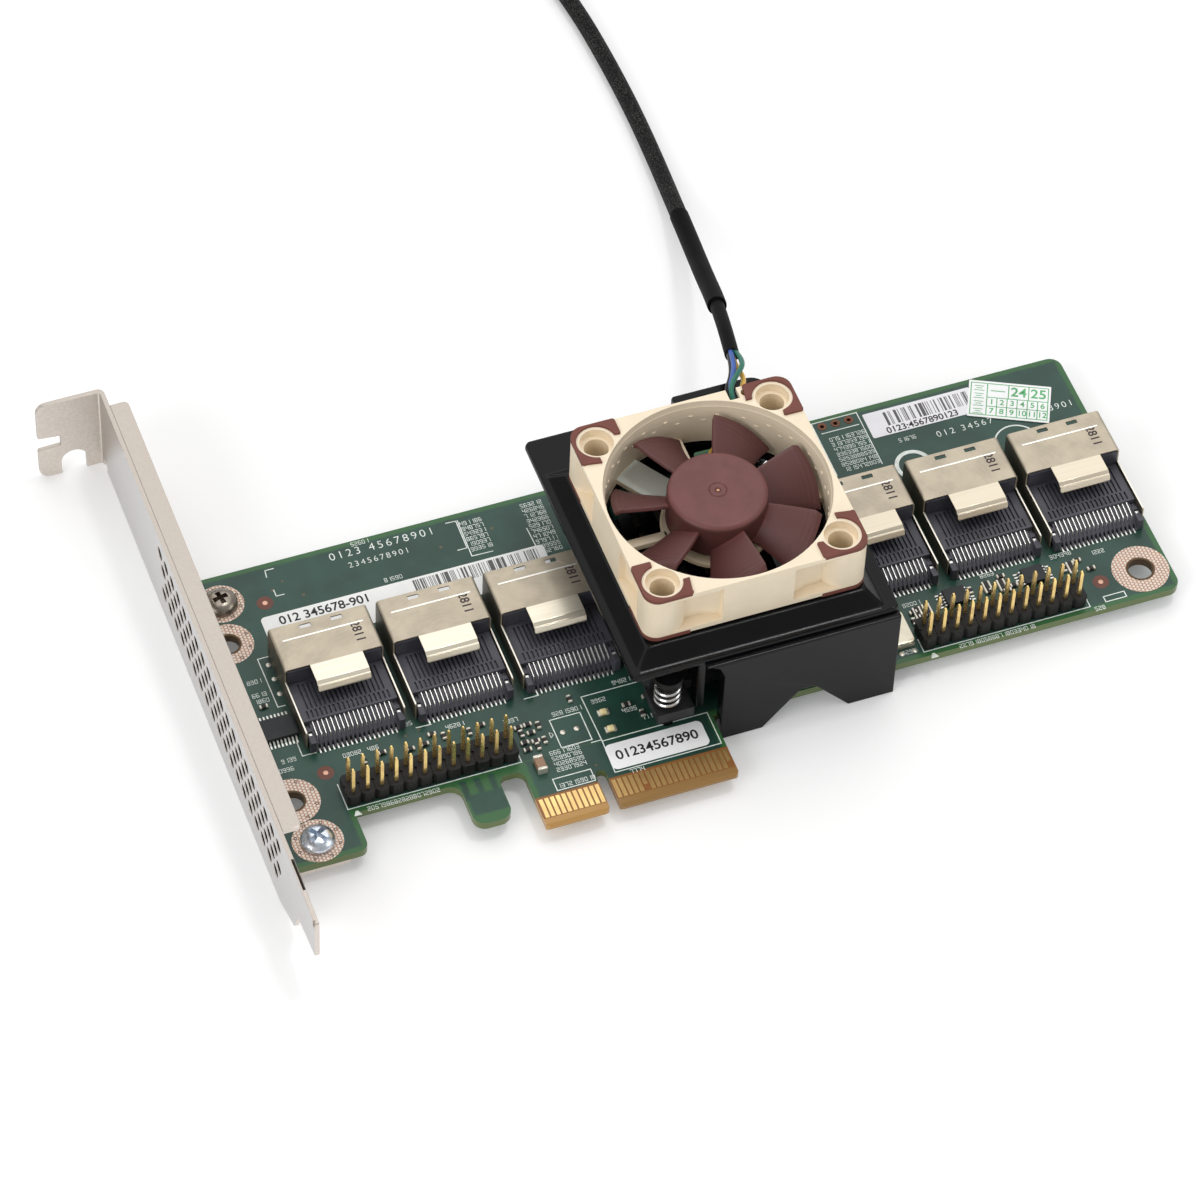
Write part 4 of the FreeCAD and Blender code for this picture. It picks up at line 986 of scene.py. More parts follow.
@dataclass(frozen=True)
class LabelFinish(Finish):
    """White film with a field of plain upright bars."""
    bars_x: Span = (0.0, 0.0)
    bars_y: Span = (0.0, 0.0)
    unit: float = 0.12
    bar: Shade = (22, 22, 24)

    def colour(self, recipe: Recipe, place: Flow) -> Flow:
        """White with bars of uneven width.

        Args:
            recipe: the material's nodes.
            place: position on the card.

        Returns:
            The base colour.
        """
        x, y, _ = recipe.parts(place)
        cell = (x / self.unit).math("FLOOR")
        chance = recipe.node("ShaderNodeTexWhiteNoise", {"noise_dimensions": "1D"}, {"W": cell})
        field_x = x.math("GREATER_THAN", self.bars_x[0]) * x.math("LESS_THAN", self.bars_x[1])
        field_y = y.math("GREATER_THAN", self.bars_y[0]) * y.math("LESS_THAN", self.bars_y[1])
        bars = chance.math("GREATER_THAN", 0.5) * field_x * field_y
        return recipe.blend(bars * 0.9, self.tone(recipe, place), tint(self.bar))


@dataclass(frozen=True)
class BraidFinish(Finish):
    """Woven sleeve: slanting strands that cross over and under along the cord."""
    turns: float = 9.0
    rows: float = 210.0
    depth: float = 0.08
    fleck: Shade = (92, 92, 89)

    def mix(self, recipe: Recipe, place: Flow) -> None:
        """Weave from the cord's own coordinates along and round it.

        Args:
            recipe: the material's nodes.
            place: position on the card.
        """
        uv = recipe.node("ShaderNodeTexCoord", output="UV")
        round_it, along, _ = recipe.parts(uv)
        first = (round_it * self.turns + along * self.rows) * (2 * math.pi)
        second = (round_it * self.turns - along * self.rows) * (2 * math.pi)
        weave = first.math("SINE") * second.math("SINE") * 0.5 + 0.5
        strand = recipe.noise(place, 0.16)
        speck = recipe.noise(place, 0.22, 0.0).step(0.52, 0.68)
        colour = recipe.blend(speck * (weave * 0.6 + 0.4), tint(self.shade), tint(self.fleck))
        recipe.dress(colour, strand * 0.2 + self.rough, self.metal, weave, self.depth,
                     Specular_IOR_Level=self.sheen)


class Paint:
    """Every finish on the card."""
    BOARD = BoardFinish("solder_mask", (33, 69, 58), 0.34, mottle=0.2, mottle_size=7.0, grain=0.006,
                        grain_size=0.5, coat=0.12, sheen=0.42)
    PAD = PadFinish("bare_copper_ring", (182, 138, 112), 0.42, metal=0.2)
    # Painted shade: the barrels' dark colour stands for the shade inside the holes
    BARREL = Finish("plated_hole", (84, 64, 38), 0.4, metal=0.5)
    JUMPER = Finish("jumper_ring", (112, 66, 42), 0.4, metal=0.3)
    VIA = Finish("ring_via", (62, 44, 34), 0.45)
    FIDUCIAL = Finish("bare_copper_dot", (226, 176, 150), 0.4, metal=0.3)
    TARNISH = Finish("mask_round_dot", (104, 54, 36), 0.4)
    CONTACTS = ContactFinish("edge_gold", (252, 212, 142), 0.32, metal=0.75, mottle=0.12, stretch=(4, 0.5, 1))
    PINS = Finish("pin_gold", (246, 210, 138), 0.26, metal=0.85, mottle=0.16, mottle_size=2.0)
    BRACKET = BracketFinish("bracket_nickel", (222, 213, 204), 0.4, metal=0.75, mottle=0.05, mottle_size=0.5,
                            grain=0.006, grain_size=0.18)
    DARK_SCREW = Finish("dark_screw", (150, 141, 130), 0.26, metal=0.9, mottle=0.15, mottle_size=1.2)
    ZINC_SCREW = Finish("zinc_screw", (218, 226, 236), 0.22, metal=0.95, mottle=0.12, mottle_size=1.0,
                        grain=0.015)
    SHELL = ShellFinish("shell_nickel", (185, 174, 155), 0.44, metal=0.7, mottle_size=3.5)
    PORT = Finish("port_black", (71, 71, 79), 0.4, mottle=0.15, grain=0.012, grain_size=0.2, sheen=0.4)
    LANE = Finish("lane_tin", (246, 245, 240), 0.3, metal=0.6, mottle=0.06, mottle_size=1.0)
    HEADER = Finish("header_black", (30, 29, 29), 0.5, mottle=0.15, grain=0.012, sheen=0.25)
    CHIP = Finish("chip_black", (44, 46, 48), 0.5, mottle=0.12, grain=0.02, grain_size=0.12, sheen=0.3)
    LEG = Finish("leg_tin", (226, 224, 218), 0.3, metal=0.7)
    GREY_PAD = Finish("grey_pad", (150, 152, 156), 0.7)
    SINK = Finish("black_anodised", (56, 56, 58), 0.38, metal=0.5, stretch=(1, 0.1, 1))
    PEG = Finish("peg_nylon", (14, 14, 15), 0.45, sheen=0.3)
    SPRING = Finish("spring_wire", (232, 232, 230), 0.22, metal=0.9, mottle=0.06)
    SHROUD = Finish("shroud_black", (11, 11, 13), 0.2, mottle=0.15, mottle_size=6.0, grain=0.008,
                    grain_size=0.5, sheen=0.19)
    CREAM = Finish("fan_cream", (245, 229, 202), 0.42, mottle=0.03, mottle_size=6.0, grain=0.008)
    BROWN = RotorFinish("fan_brown", (110, 65, 62), 0.46, mottle=0.08, mottle_size=3.0, grain=0.014,
                        grain_size=0.18, sheen=0.4)
    RUBBER = Finish("pad_brown", (118, 70, 60), 0.6, mottle=0.08, grain=0.02, grain_size=0.2, sheen=0.3)
    BRASS = Finish("bush_brass", (196, 158, 92), 0.3, metal=0.9)
    STEEL = Finish("core_steel", (150, 150, 150), 0.4, metal=0.9, stretch=(1, 1, 8))
    COPPER = Finish("winding_copper", (186, 100, 58), 0.34, metal=0.8, stretch=(1, 1, 10))
    DOT = Finish("axis_dot", (212, 160, 122), 0.35, metal=0.5)
    MAGNET = Finish("magnet_grey", (58, 58, 60), 0.6)
    STRUT = Finish("strut_film", (204, 208, 198), 0.5, mottle=0.04, grain=0.004)
    FILM = Finish("label_film", (250, 250, 250), 0.5, mottle=0.02, grain=0.004)
    STRIP = LabelFinish("label_film_long", (243, 243, 241), 0.5, mottle=0.02, grain=0.004,
                        bars_x=(-5.2, 17.6), bars_y=(54.2, 57.1))
    BARS = LabelFinish("label_film_bars", (240, 238, 242), 0.5, mottle=0.02, grain=0.004,
                       bars_x=(86.2, 102.2), bars_y=(63.4, 66.5), unit=0.13)
    INK = Finish("board_ink", (232, 238, 232), 0.6, mottle=0.12, mottle_size=1.0)
    SHELL_INK = Finish("shell_ink", (58, 42, 46), 0.6, mottle=0.2, mottle_size=0.6)
    BLACK_INK = Finish("number_ink", (28, 28, 30), 0.6, mottle_size=1.0)
    GREEN_INK = Finish("sticker_ink", (96, 176, 116), 0.6)
    LAMP = Finish("lamp_resin", (244, 226, 170), 0.2, coat=0.5)
    CERAMIC = Finish("tan_ceramic", (150, 118, 92), 0.4)
    SMALL = Finish("small_part_black", (46, 44, 44), 0.45, sheen=0.3)
    SOLDER = Finish("bright_solder", (216, 211, 198), 0.32, metal=0.6, mottle=0.15, mottle_size=0.8)
    CAN = Finish("can_lid", (214, 206, 186), 0.3, metal=0.75, mottle=0.06)
    SHRINK = Finish("shrunk_tube", (13, 13, 14), 0.6, mottle=0.12, grain=0.02, grain_size=0.5, sheen=0.05)
    SLEEVE = BraidFinish("woven_sleeve", (20, 20, 20), 0.55, sheen=0.2)
    PLUG = Finish("plug_black", (30, 30, 31), 0.45, sheen=0.3)
    WIRES = {"black": Finish("wire_black", (24, 24, 26), 0.35, sheen=0.3),
             "blue": Finish("wire_blue", (56, 92, 168), 0.35),
             "green": Finish("wire_green", (30, 108, 88), 0.35),
             "yellow": Finish("wire_yellow", (222, 176, 70), 0.35)}


@dataclass
class Studio:
    """Camera, light and floor."""
    camera_spot: Spot = (-0.238839, -0.567587, 0.772169)
    camera_turn: Spot = (38.5162, -1.7366, -20.0753)
    lens: float = 170.54
    floor_side: float = 6.0
    sky: float = 0.45
    glow: float = 0.14
    lamps: tuple[tuple[str, Spot, float, float], ...] = (
        ("softbox", (0.2, 1.1, 1.7), 3.0, 25.0), ("top", (0.4, 0.1, 1.6), 0.2, 3.0),
        ("left", (-1.3, -0.6, 0.9), 0.9, 9.0), ("right", (1.3, -0.7, 0.9), 0.9, 3.5))

    def build(self) -> None:
        """Set up everything that isn't part of the object."""
        self.place_camera()
        self.hang_lights()
        self.lay_floor()
        bpy.context.scene.view_settings.view_transform = "Standard"

    def place_camera(self) -> None:
        """Camera at the photograph's viewing angle."""
        data = bpy.data.cameras.new("camera")
        data.lens = self.lens
        data.sensor_width = 36.0
        camera = Bench.add(data)
        camera.location = self.camera_spot
        camera.rotation_euler = [math.radians(angle) for angle in self.camera_turn]
        bpy.context.scene.camera = camera

    def hang_lights(self) -> None:
        """White surroundings, a large softbox at the back, a small lamp on top and one on each side."""
        world = bpy.data.worlds.new("surroundings")
        world.use_nodes = True
        back = world.node_tree.nodes["Background"]
        back.inputs["Color"].default_value = (1.0, 1.0, 1.0, 1.0)
        back.inputs["Strength"].default_value = self.sky
        bpy.context.scene.world = world
        for name, spot, side, power in self.lamps:
            lamp = bpy.data.lights.new(name, "AREA")
            lamp.size = side
            lamp.energy = power
            light = Bench.add(lamp)
            light.location = spot
            light.rotation_euler = (-Vector(spot)).to_track_quat("-Z", "Y").to_euler()

    def lay_floor(self) -> None:
        """Pale floor that shows white to the camera and keeps the shadows."""
        floor = Bench.fresh(bpy.ops.mesh.primitive_plane_add, size=self.floor_side)
        floor.name = "floor"
        recipe = Recipe("floor_white")
        grain = recipe.noise(recipe.card(), 30.0)
        colour = recipe.blend(grain, (0.9, 0.9, 0.9, 1.0), (0.915, 0.915, 0.915, 1.0))
        recipe.dress(colour, 0.9, 0.0, Specular_IOR_Level=0.0)
        light_path = recipe.node("ShaderNodeLightPath", output="Is Camera Ray")
        seen = light_path.high(light_path.part("Is Glossy Ray")).high(light_path.part("Is Transmission Ray"))
        recipe.feed(recipe.shader.inputs["Emission Color"], recipe.blend(seen, (0, 0, 0, 1), (1, 1, 1, 1)))
        recipe.shader.inputs["Emission Strength"].default_value = self.glow
        floor.data.materials.append(recipe.material)


@dataclass
class Lead:
    """Fan lead: bare wires, two shrunk tubes, woven sleeve and plug."""
    route: list[Spot] = field(default_factory=lambda: [
        (56.6, 67.0, 30.4), (58.6, 74.6, 27.0), (60.6, 82.3, 23.0), (62.6, 90.2, 18.6), (64.3, 98.3, 14.2),
        (66.2, 107.3, 9.7), (68.1, 117.4, 5.5), (69.5, 127.8, 2.7), (70.4, 139.2, 1.7), (70.8, 152.0, 1.6),
        (70.6, 165.4, 1.6), (69.8, 180.0, 1.6), (67.6, 194.0, 1.6), (62.8, 207.0, 1.6), (54.6, 218.0, 1.6),
        (43.5, 225.4, 1.6)])
    diameter: float = 3.2
    inner_radius: float = 1.3
    outer_radius: float = 1.75
    inner_end: float = 23.6
    outer_span: Span = (22.0, 62.8)
    exit: Spot = (53.4, 58.4, 32.6)
    covered: int = 4
    covered_share: float = 0.7
    wire_radius: float = 0.46
    wire_routes: dict[str, tuple[Spot, ...]] = field(default_factory=lambda: {
        "black": ((51.7, 54.6, 31.8), (51.7, 57.6, 32.8), (53.8, 60.4, 32.9), (55.2, 64.0, 32.0),
                  (56.3, 68.2, 30.2)),
        "blue": ((52.3, 54.5, 32.4), (52.2, 57.2, 33.8), (54.4, 60.8, 33.5), (55.7, 64.2, 32.3),
                 (56.6, 68.2, 30.6)),
        "green": ((52.0, 54.6, 33.2), (52.0, 56.6, 34.4), (53.8, 58.8, 34.5), (57.6, 63.2, 32.8),
                  (57.1, 68.2, 30.3)),
        "yellow": ((54.2, 54.9, 32.8), (54.3, 57.0, 33.4), (56.0, 59.6, 32.4), (56.0, 64.0, 31.2),
                   (56.8, 68.2, 29.8))})
    plug_turn: float = 146.31
    plug_pitch: float = 2.54
    plug_ways: int = 4

    def spline(self, place_in: Matrix = ON_TABLE) -> bpy.types.Curve:
        """The route as one smooth open spline.

        Args:
            place_in: move from card millimetres into another frame.

        Returns:
            The curve, with no thickness yet.
        """
        data = bpy.data.curves.new("lead_sleeve_line", "CURVE")
        data.dimensions = "3D"
        data.resolution_u = 10
        Bench.thread(data, [place_in @ Vector(place) for place in self.route], smooth=True)
        return data

    def along(self, start: float, stop: float) -> list[Vector]:
        """Points of the spline between two lengths from its start.

        Args:
            start: length at the first point.
            stop: length at the last point.

        Returns:
            The points in order.
        """
        obj = Bench.add(self.spline())
        mesh = bpy.data.meshes.new_from_object(obj)
        points = [vertex.co.copy() for vertex in mesh.vertices]
        bpy.data.objects.remove(obj)
        chosen: list[Vector] = []
        length = 0.0
        for here, ahead in zip(points, points[1:]):
            run = (ahead - here).length
            if not chosen and length + run >= start:
                chosen.append(here.lerp(ahead, (start - length) / run))
            length += run
            if start < length < stop:
                chosen.append(ahead)
            if length >= stop:
                chosen.append(here.lerp(ahead, 1 - (length - stop) / run))
                break
        return chosen

    def build(self) -> None:
        sleeve = self.sleeve()
        pieces = [*self.wires(), self.shrunk("lead_inner_tube", (0.0, self.inner_end), self.inner_radius),
                  self.shrunk("lead_outer_tube", self.outer_span, self.outer_radius), self.plug()]

    def sleeve(self) -> Object:
        """Woven sleeve; it is thinner where the shrunk tubes cover it."""
        data = self.spline(TO_ROW)
        for index, point in enumerate(data.splines[0].points):
            point.radius = self.covered_share if index < self.covered else 1.0
        data.bevel_depth = self.diameter / 2000
        data.bevel_resolution = 6
        data.use_fill_caps = True
        data.materials.append(Paint.SLEEVE.material())
        sleeve = Bench.add(data)
        sleeve.name = "lead_woven_sleeve"
        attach(sleeve, Body.CARD.value)
        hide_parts("lead_sleeve")
        LOG.info("piece %s", sleeve.name)
        return sleeve

    def shrunk(self, node: str, span: Span, radius: float) -> Object:
        """Tube shrunk over the sleeve, with eased ends.

        Args:
            node: CAD node that it stands for.
            span: lengths along the route between which it lies.
            radius: the tube's radius.

        Returns:
            The finished piece.
        """
        tube = Bench.tube(self.along(*span), radius, sides=8)
        Bench.ease(tube, 0.3, 50.0, 3)
        return Bench.piece(tube, f"{node}_shrunk", "shrink_rubber", Paint.SHRINK, [node], at=ON_TABLE)

    def wires(self) -> list[Object]:
        """Four insulated wires that twist from the fan's notch into the first tube."""
        pieces = []
        for name, places in self.wire_routes.items():
            wire = Bench.tube(places, self.wire_radius, sides=4, smooth=True)
            pieces.append(Bench.piece(wire, f"lead_wire_{name}", "wire_rubber", Paint.WIRES[name],
                                      ["lead_wires"], at=ON_TABLE))
        return pieces

    def plug(self) -> Object:
        """Four-way plug with two guide ribs, lying at the end of the lead."""
        case = Bench.block((0, 12), (-5.1, 5.1), (0, 5.1), 0.35, 3)
        ways = centred(self.plug_ways, self.plug_pitch)
        holes = [Bench.block((4, 13), about(y, 0.55), (2.0, 3.1), 0.08) for y in ways]
        windows = [Bench.block((6.5, 9.0), about(y, 0.45), (4.7, 5.6), 0.05) for y in ways]
        Bench.cut(case, *holes, *windows)
        ribs = [Bench.block((3, 11.8), about(y, 0.6), (4.8, 5.8), 0.2) for y in (-2.6, 2.6)]
        plug = Bench.join(case, *ribs)
        return Bench.piece(plug, "lead_four_way_plug", "plug_plastic", Paint.PLUG, ["lead_plug"],
                           at=moved(*self.route[-1][:2], 0.0, self.plug_turn))


@dataclass
class Bracket:
    """Vented slot bracket of folded sheet and the screws that hold it."""
    face: float = -46.9
    sheet: float = 0.86
    wide: float = 19.0
    fold_start: float = 102.74
    fold_radius: float = 0.83
    tab_end: float = 115.194
    slot_deep: float = 4.1
    notch_middle: float = 108.844
    notch_radius: float = 2.25
    notch_deep: float = 3.05
    flange_edge: float = -42.8
    flange_run: Span = (3.0, 99.8)
    ear_reach: Span = (0.4, 13.86)
    ear_half: float = 4.3
    ear_hole: float = 1.52
    vent_radius: float = 1.35
    vent_rows: tuple[int, ...] = (19, 19, 19, 20)
    vent_near: float = 3.3
    vent_pitch: float = 3.43
    vent_low: float = 5.85
    vent_step: float = 3.05
    screws: tuple[Span, Span] = ((-38.0, 62.8), (-38.0, 9.6))

    def build(self) -> None:
        """Make the bracket and both screws."""
        root = self.face + self.sheet
        low, high = self.flange_run
        flange = Bench.slab(path((root, low), (self.flange_edge, low, 0.9), (self.flange_edge, high, 0.9),
                                 (root, high)), (self.wide - self.sheet, self.wide), bevel=0.13)
        reach = (self.face + self.ear_reach[0], self.face + self.ear_reach[1])
        ears = [Bench.slab(rounded(reach, about(y, self.ear_half), 1.0), (1.84, 2.7),
                           holes=[ring(x, y, self.ear_hole)], bevel=0.1) for x, y in self.screws]
        Bench.piece(Bench.join(self.plate(), flange, *ears), "bracket_folded", "bracket_steel",
                    Paint.BRACKET, ["bracket"], at=ON_TABLE)
        far, near = self.screws
        for name, place, turn, reach, finish in (("dark", far, 12, 1.35, Paint.DARK_SCREW),
                                                 ("bright", near, 35, 1.7, Paint.ZINC_SCREW)):
            Bench.piece(self.screw(reach), f"bracket_screw_{name}", "screw_steel", finish, ["bracket_screws"],
                        at=moved(*place, BOARD_TOP, turn))

    def vents(self) -> list[Outline]:
        """Outlines of the vent holes, every other column shifted by half a pitch."""
        return [ring(self.vent_near + (row + (column + 1) % 2 / 2) * self.vent_pitch,
                     self.vent_low + column * self.vent_step, self.vent_radius, 14)
                for column, rows in enumerate(self.vent_rows) for row in range(rows)]

    def plate(self) -> Object:
        """Plate, tail and screw tab cut as one sheet and folded."""
        notch = arc(self.notch_middle, self.notch_deep, self.notch_radius, 180, 0, 14)
        outline = path((3.0, 0.0), (self.notch_middle - self.notch_radius, 0.0)) + notch
        end = self.tab_end
        slot = end - self.slot_deep
        outline += path((self.notch_middle + self.notch_radius, 0.0), (end, 0.0, 2.0), (end, 7.3, 0.4),
                        (slot, 7.5), (slot, 10.0), (end, 10.5, 0.4), (end, self.wide, 2.0),
                        (-7.0, self.wide, 2.0), (-16.0, 18.3, 0.5), (-16.0, 9.4, 0.5), (-7.0, 8.4, 1.0),
                        (-4.9, 3.0, 1.0), (3.0, 0.0))
        half = self.sheet / 2
        plate = Bench.slab(outline, (-half, half), holes=self.vents(), bevel=0.13)
        Bench.fold(plate, 0, self.fold_start, self.fold_radius, 90)
        plate.data.transform(Matrix.Translation((self.face + half, 0, 0)) @ Axis.X.matrix)
        sheared = [Bench.block((-46.62, -46.12), (-9.2, -2.8), (14.6, 19.4), 0.02),
                   Bench.block((-48.0, -45.8), (100.6, 102.6), (-1.0, 1.5), 0.2),
                   Bench.block((-47.0, -46.5), (-15.9, -15.1), (17.0, 19.3), 0.05)]
        Bench.cut(plate, *sheared)
        return plate

    def screw(self, reach: float) -> Object:
        """Pan-head screw with a cross recess whose arms flare outwards.

        Args:
            reach: how far the recess's arms go from the middle.

        Returns:
            The mesh object, standing on its seat.
        """
        screw = Bench.lathe([(0, -4.2), (1.2, -4.2), (1.45, -3.9), (1.45, 0), (2.8, 0), (3.0, 0.15),
                             (3.0, 0.5), (2.85, 0.95), (2.4, 1.4), (1.7, 1.75), (0.8, 1.95), (0, 2.0)])
        arm = ((0.38, -0.38), (reach, -0.5), (reach, 0.5))
        turned = [Matrix.Rotation(math.pi / 2 * step, 2) @ Vector(point)
                  for step in range(4) for point in arm]
        Bench.cut(screw, Bench.slab([tuple(point) for point in turned], (0.3, 2.6)))
        return screw


@dataclass
class Ports:
    """Six shielded cable ports, modelled once and copied."""
    middles: tuple[float, ...] = (-24.9, -5.5, 13.9, 72.6, 92.0, 111.4)
    half: float = 8.85
    high: float = 7.0
    sheet: float = 0.3
    bend: float = 0.55
    near: float = 40.2
    mouth: float = 49.6
    strip_near: float = 28.6
    strip_high: float = 3.9
    leaf_half: float = 4.7
    leaf_shift: float = 0.35
    leaf_end: float = 34.3
    leaf_bends: tuple[Spot, ...] = ((36.6, 0.15, 40), (35.95, 0.15, -40), (35.55, 0.15, 65))
    bend_shift: float = 60.0
    lanes: int = 18
    pitch: float = 0.8
    slot_rows: tuple[tuple[int, float, float], ...] = ((18, 33.95, 5.45), (19, 31.95, 1.7))
    foot: float = 7.88
    mark: str = "2811"

    def build(self) -> None:
        """Model one port and copy its pieces to the six places."""
        for part, obj, slot, finish in (("housing", self.housing(), "port_plastic", Paint.PORT),
                                        ("shell", self.shell(), "port_steel", Paint.SHELL),
                                        ("contacts", self.contacts(), "port_contact", Paint.LANE)):
            for number, x in enumerate(self.middles, start=1):
                copy = Bench.repeat(obj, [moved(x, 0)], keep=True)
                Bench.piece(copy, f"port_{number}_{part}_detailed", slot, finish, [f"port_{number}_{part}"])
            bpy.data.objects.remove(obj)
        marks = [Bench.text(self.mark, 2.3, moved(x + 5.6, 44.4, self.high + 0.01, -90))
                 for x in self.middles]
        Bench.piece(Bench.join(*marks), "port_shell_marks", "label_paper", Paint.SHELL_INK)

    def shell(self) -> Object:
        """Sheet shell cut flat with its leaf and windows, then folded."""
        start = self.half - self.sheet / 2 - self.bend
        wall = start + self.bend * math.pi / 2
        edge = wall + self.high - self.sheet / 2 - self.bend
        step = edge - self.strip_high
        left = self.leaf_shift - self.leaf_half
        right = self.leaf_shift + self.leaf_half
        outline = path((right, self.near), (step, self.near), (step, self.strip_near, 0.4),
                       (edge, self.strip_near), (edge, self.mouth), (-edge, self.mouth),
                       (-edge, self.strip_near), (-step, self.strip_near, 0.4), (-step, self.near),
                       (left, self.near), (left, self.leaf_end, 0.3), (right, self.leaf_end, 0.3))
        windows = [rounded(about(self.leaf_shift + x, 1.0), (48.1, 48.9), 0.1)
                   for x in (-2.8, 2.8)]
        shell = Bench.slab(outline, (-self.sheet / 2, self.sheet / 2), holes=windows, bevel=0.06)
        # A fold bends what lies beyond it from zero, so the sheet is shifted to have its leaf outermost
        shell.data.transform(Matrix.Translation((0, -self.bend_shift, 0)))

        def on_leaf(point: Vector) -> bool:
            """Points of the leaf only."""
            return abs(point.x) < 6

        for place, radius, degrees in self.leaf_bends:
            Bench.fold(shell, 1, place - self.bend_shift, radius, degrees, on_leaf)
        for side in (-1, 1):
            Bench.fold(shell, 0, side * start, self.bend, 90)
        shell.data.transform(Matrix.Translation((0, self.bend_shift, self.high - self.sheet / 2)))
        ridge = Bench.block((-7.2, 7.2), (46.2, 46.55), (self.high - 0.1, self.high + 0.07), 0.06)
        return Bench.join(shell, ridge)

    def housing(self) -> Object:
        """Black body with slotted plateau, a comb of fins below its edge and two feet."""
        inner = self.half - self.sheet - 0.12
        body = Bench.slab(path((28.0, 0.3), (28.0, 1.1, 0.15), (28.9, 1.8), (31.5, 2.2), (31.5, 3.3, 0.12),
                               (40.0, 3.3), (40.0, 6.5), (41.6, 6.5), (41.6, 1.1), (self.mouth, 1.1),
                               (self.mouth, 0.0), (30.6, 0.0), (30.6, 0.3)),
                          (-inner, inner), Axis.X, bevel=0.08)
        slot = Bench.block((-0.17, 0.17), (0, 1), (2.9, 3.6), 0.02, 1)
        rows = [moved(x, y) @ Matrix.Diagonal((1, length, 1, 1)) for count, y, length in self.slot_rows
                for x in centred(count, self.pitch)]
        Bench.cut(body, Bench.repeat(slot, rows))
        fin = Bench.slab([(31.6, 1.9), (31.6, 2.65), (28.9, 2.15), (27.1, 0.25), (28.3, 0.25)],
                         (-0.2, 0.2), Axis.X, bevel=0.03)
        feet = [Bench.repeat(fin, [moved(x, 0) for x in centred(self.lanes + 1, self.pitch)])]
        for x in (-self.foot, self.foot):
            foot = Bench.block(about(x, 0.55), (27.2, 30.7), (0, 2.6), 0.15)
            Bench.cut(foot, Bench.block(about(x, 0.38), (28.95, 29.8), (1.8, 3.0), 0.02, 1))
            feet.append(foot)
        return Bench.join(body, *feet)

    def contacts(self) -> Object:
        """Row of upright contact blades between the fins, their tails, and the pegs in the feet."""
        blade = Bench.slab([(31.65, 1.9), (31.65, 2.98), (28.85, 2.42), (28.7, 1.5)], (-0.085, 0.085),
                           Axis.X, bevel=0.025)
        tail = Bench.slab([(27.8, 0.0), (26.7, 0.0), (26.7, 0.16), (27.8, 0.22)], (-0.14, 0.14), Axis.X,
                          bevel=0.03)
        row = Bench.repeat(Bench.join(blade, tail), [moved(x, 0) for x in centred(self.lanes, self.pitch)])
        pegs = [Bench.block(about(x, 0.31), (29.0, 29.5), (0, 2.5), 0.06)
                for x in (-self.foot, self.foot)]
        return Bench.join(row, *pegs)


@dataclass
class Headers:
    """Two double-row pin headers."""
    starts: Span = (-29.75, 74.5)
    near: float = 15.7
    pitch: float = 2.54
    columns: int = 12
    chamfer: float = 0.5
    pin_wide: float = 0.58
    pin_tip: float = 0.2
    top: float = 8.6
    tail: float = -3.07

    def build(self) -> None:
        """Make both headers from one cell and one pin."""
        side = self.pitch / 2
        near = side - self.chamfer
        far = 3 * side - self.chamfer
        cell = Bench.slab([(-near, -side), (near, -side), (side, -near), (side, far), (near, 3 * side),
                           (-near, 3 * side), (-side, far), (-side, -near)], (0, self.pitch), bevel=0.12)
        waist = [Bench.block(about(x, 0.3), about(side, 0.25), (2.2, 3), 0.05)
                 for x in (-side, side)]
        Bench.cut(cell, *waist)
        half = self.pin_wide / math.sqrt(2)
        pin = Bench.lathe([(0, self.tail), (self.pin_tip, self.tail), (half, -2.5), (half, self.top - 0.55),
                           (self.pin_tip, self.top), (0, self.top)], 4)
        pin.data.transform(Matrix.Rotation(math.pi / 4, 4, "Z"))
        for number, start in enumerate(self.starts, start=1):
            columns = [start + index * self.pitch for index in range(self.columns)]
            base = Bench.repeat(cell, [moved(x, self.near) for x in columns], keep=True)
            Bench.piece(base, f"header_{number}_cells", "header_plastic", Paint.HEADER,
                        [f"header_{number}_base"])
            pins = Bench.repeat(pin, [moved(x, self.near + row * self.pitch)
                                      for x in columns for row in (0, 1)], keep=True)
            Bench.piece(pins, f"header_{number}_tapered_pins", "gold", Paint.PINS, [f"header_{number}_pins"])
        for obj in (cell, pin):
            bpy.data.objects.remove(obj)


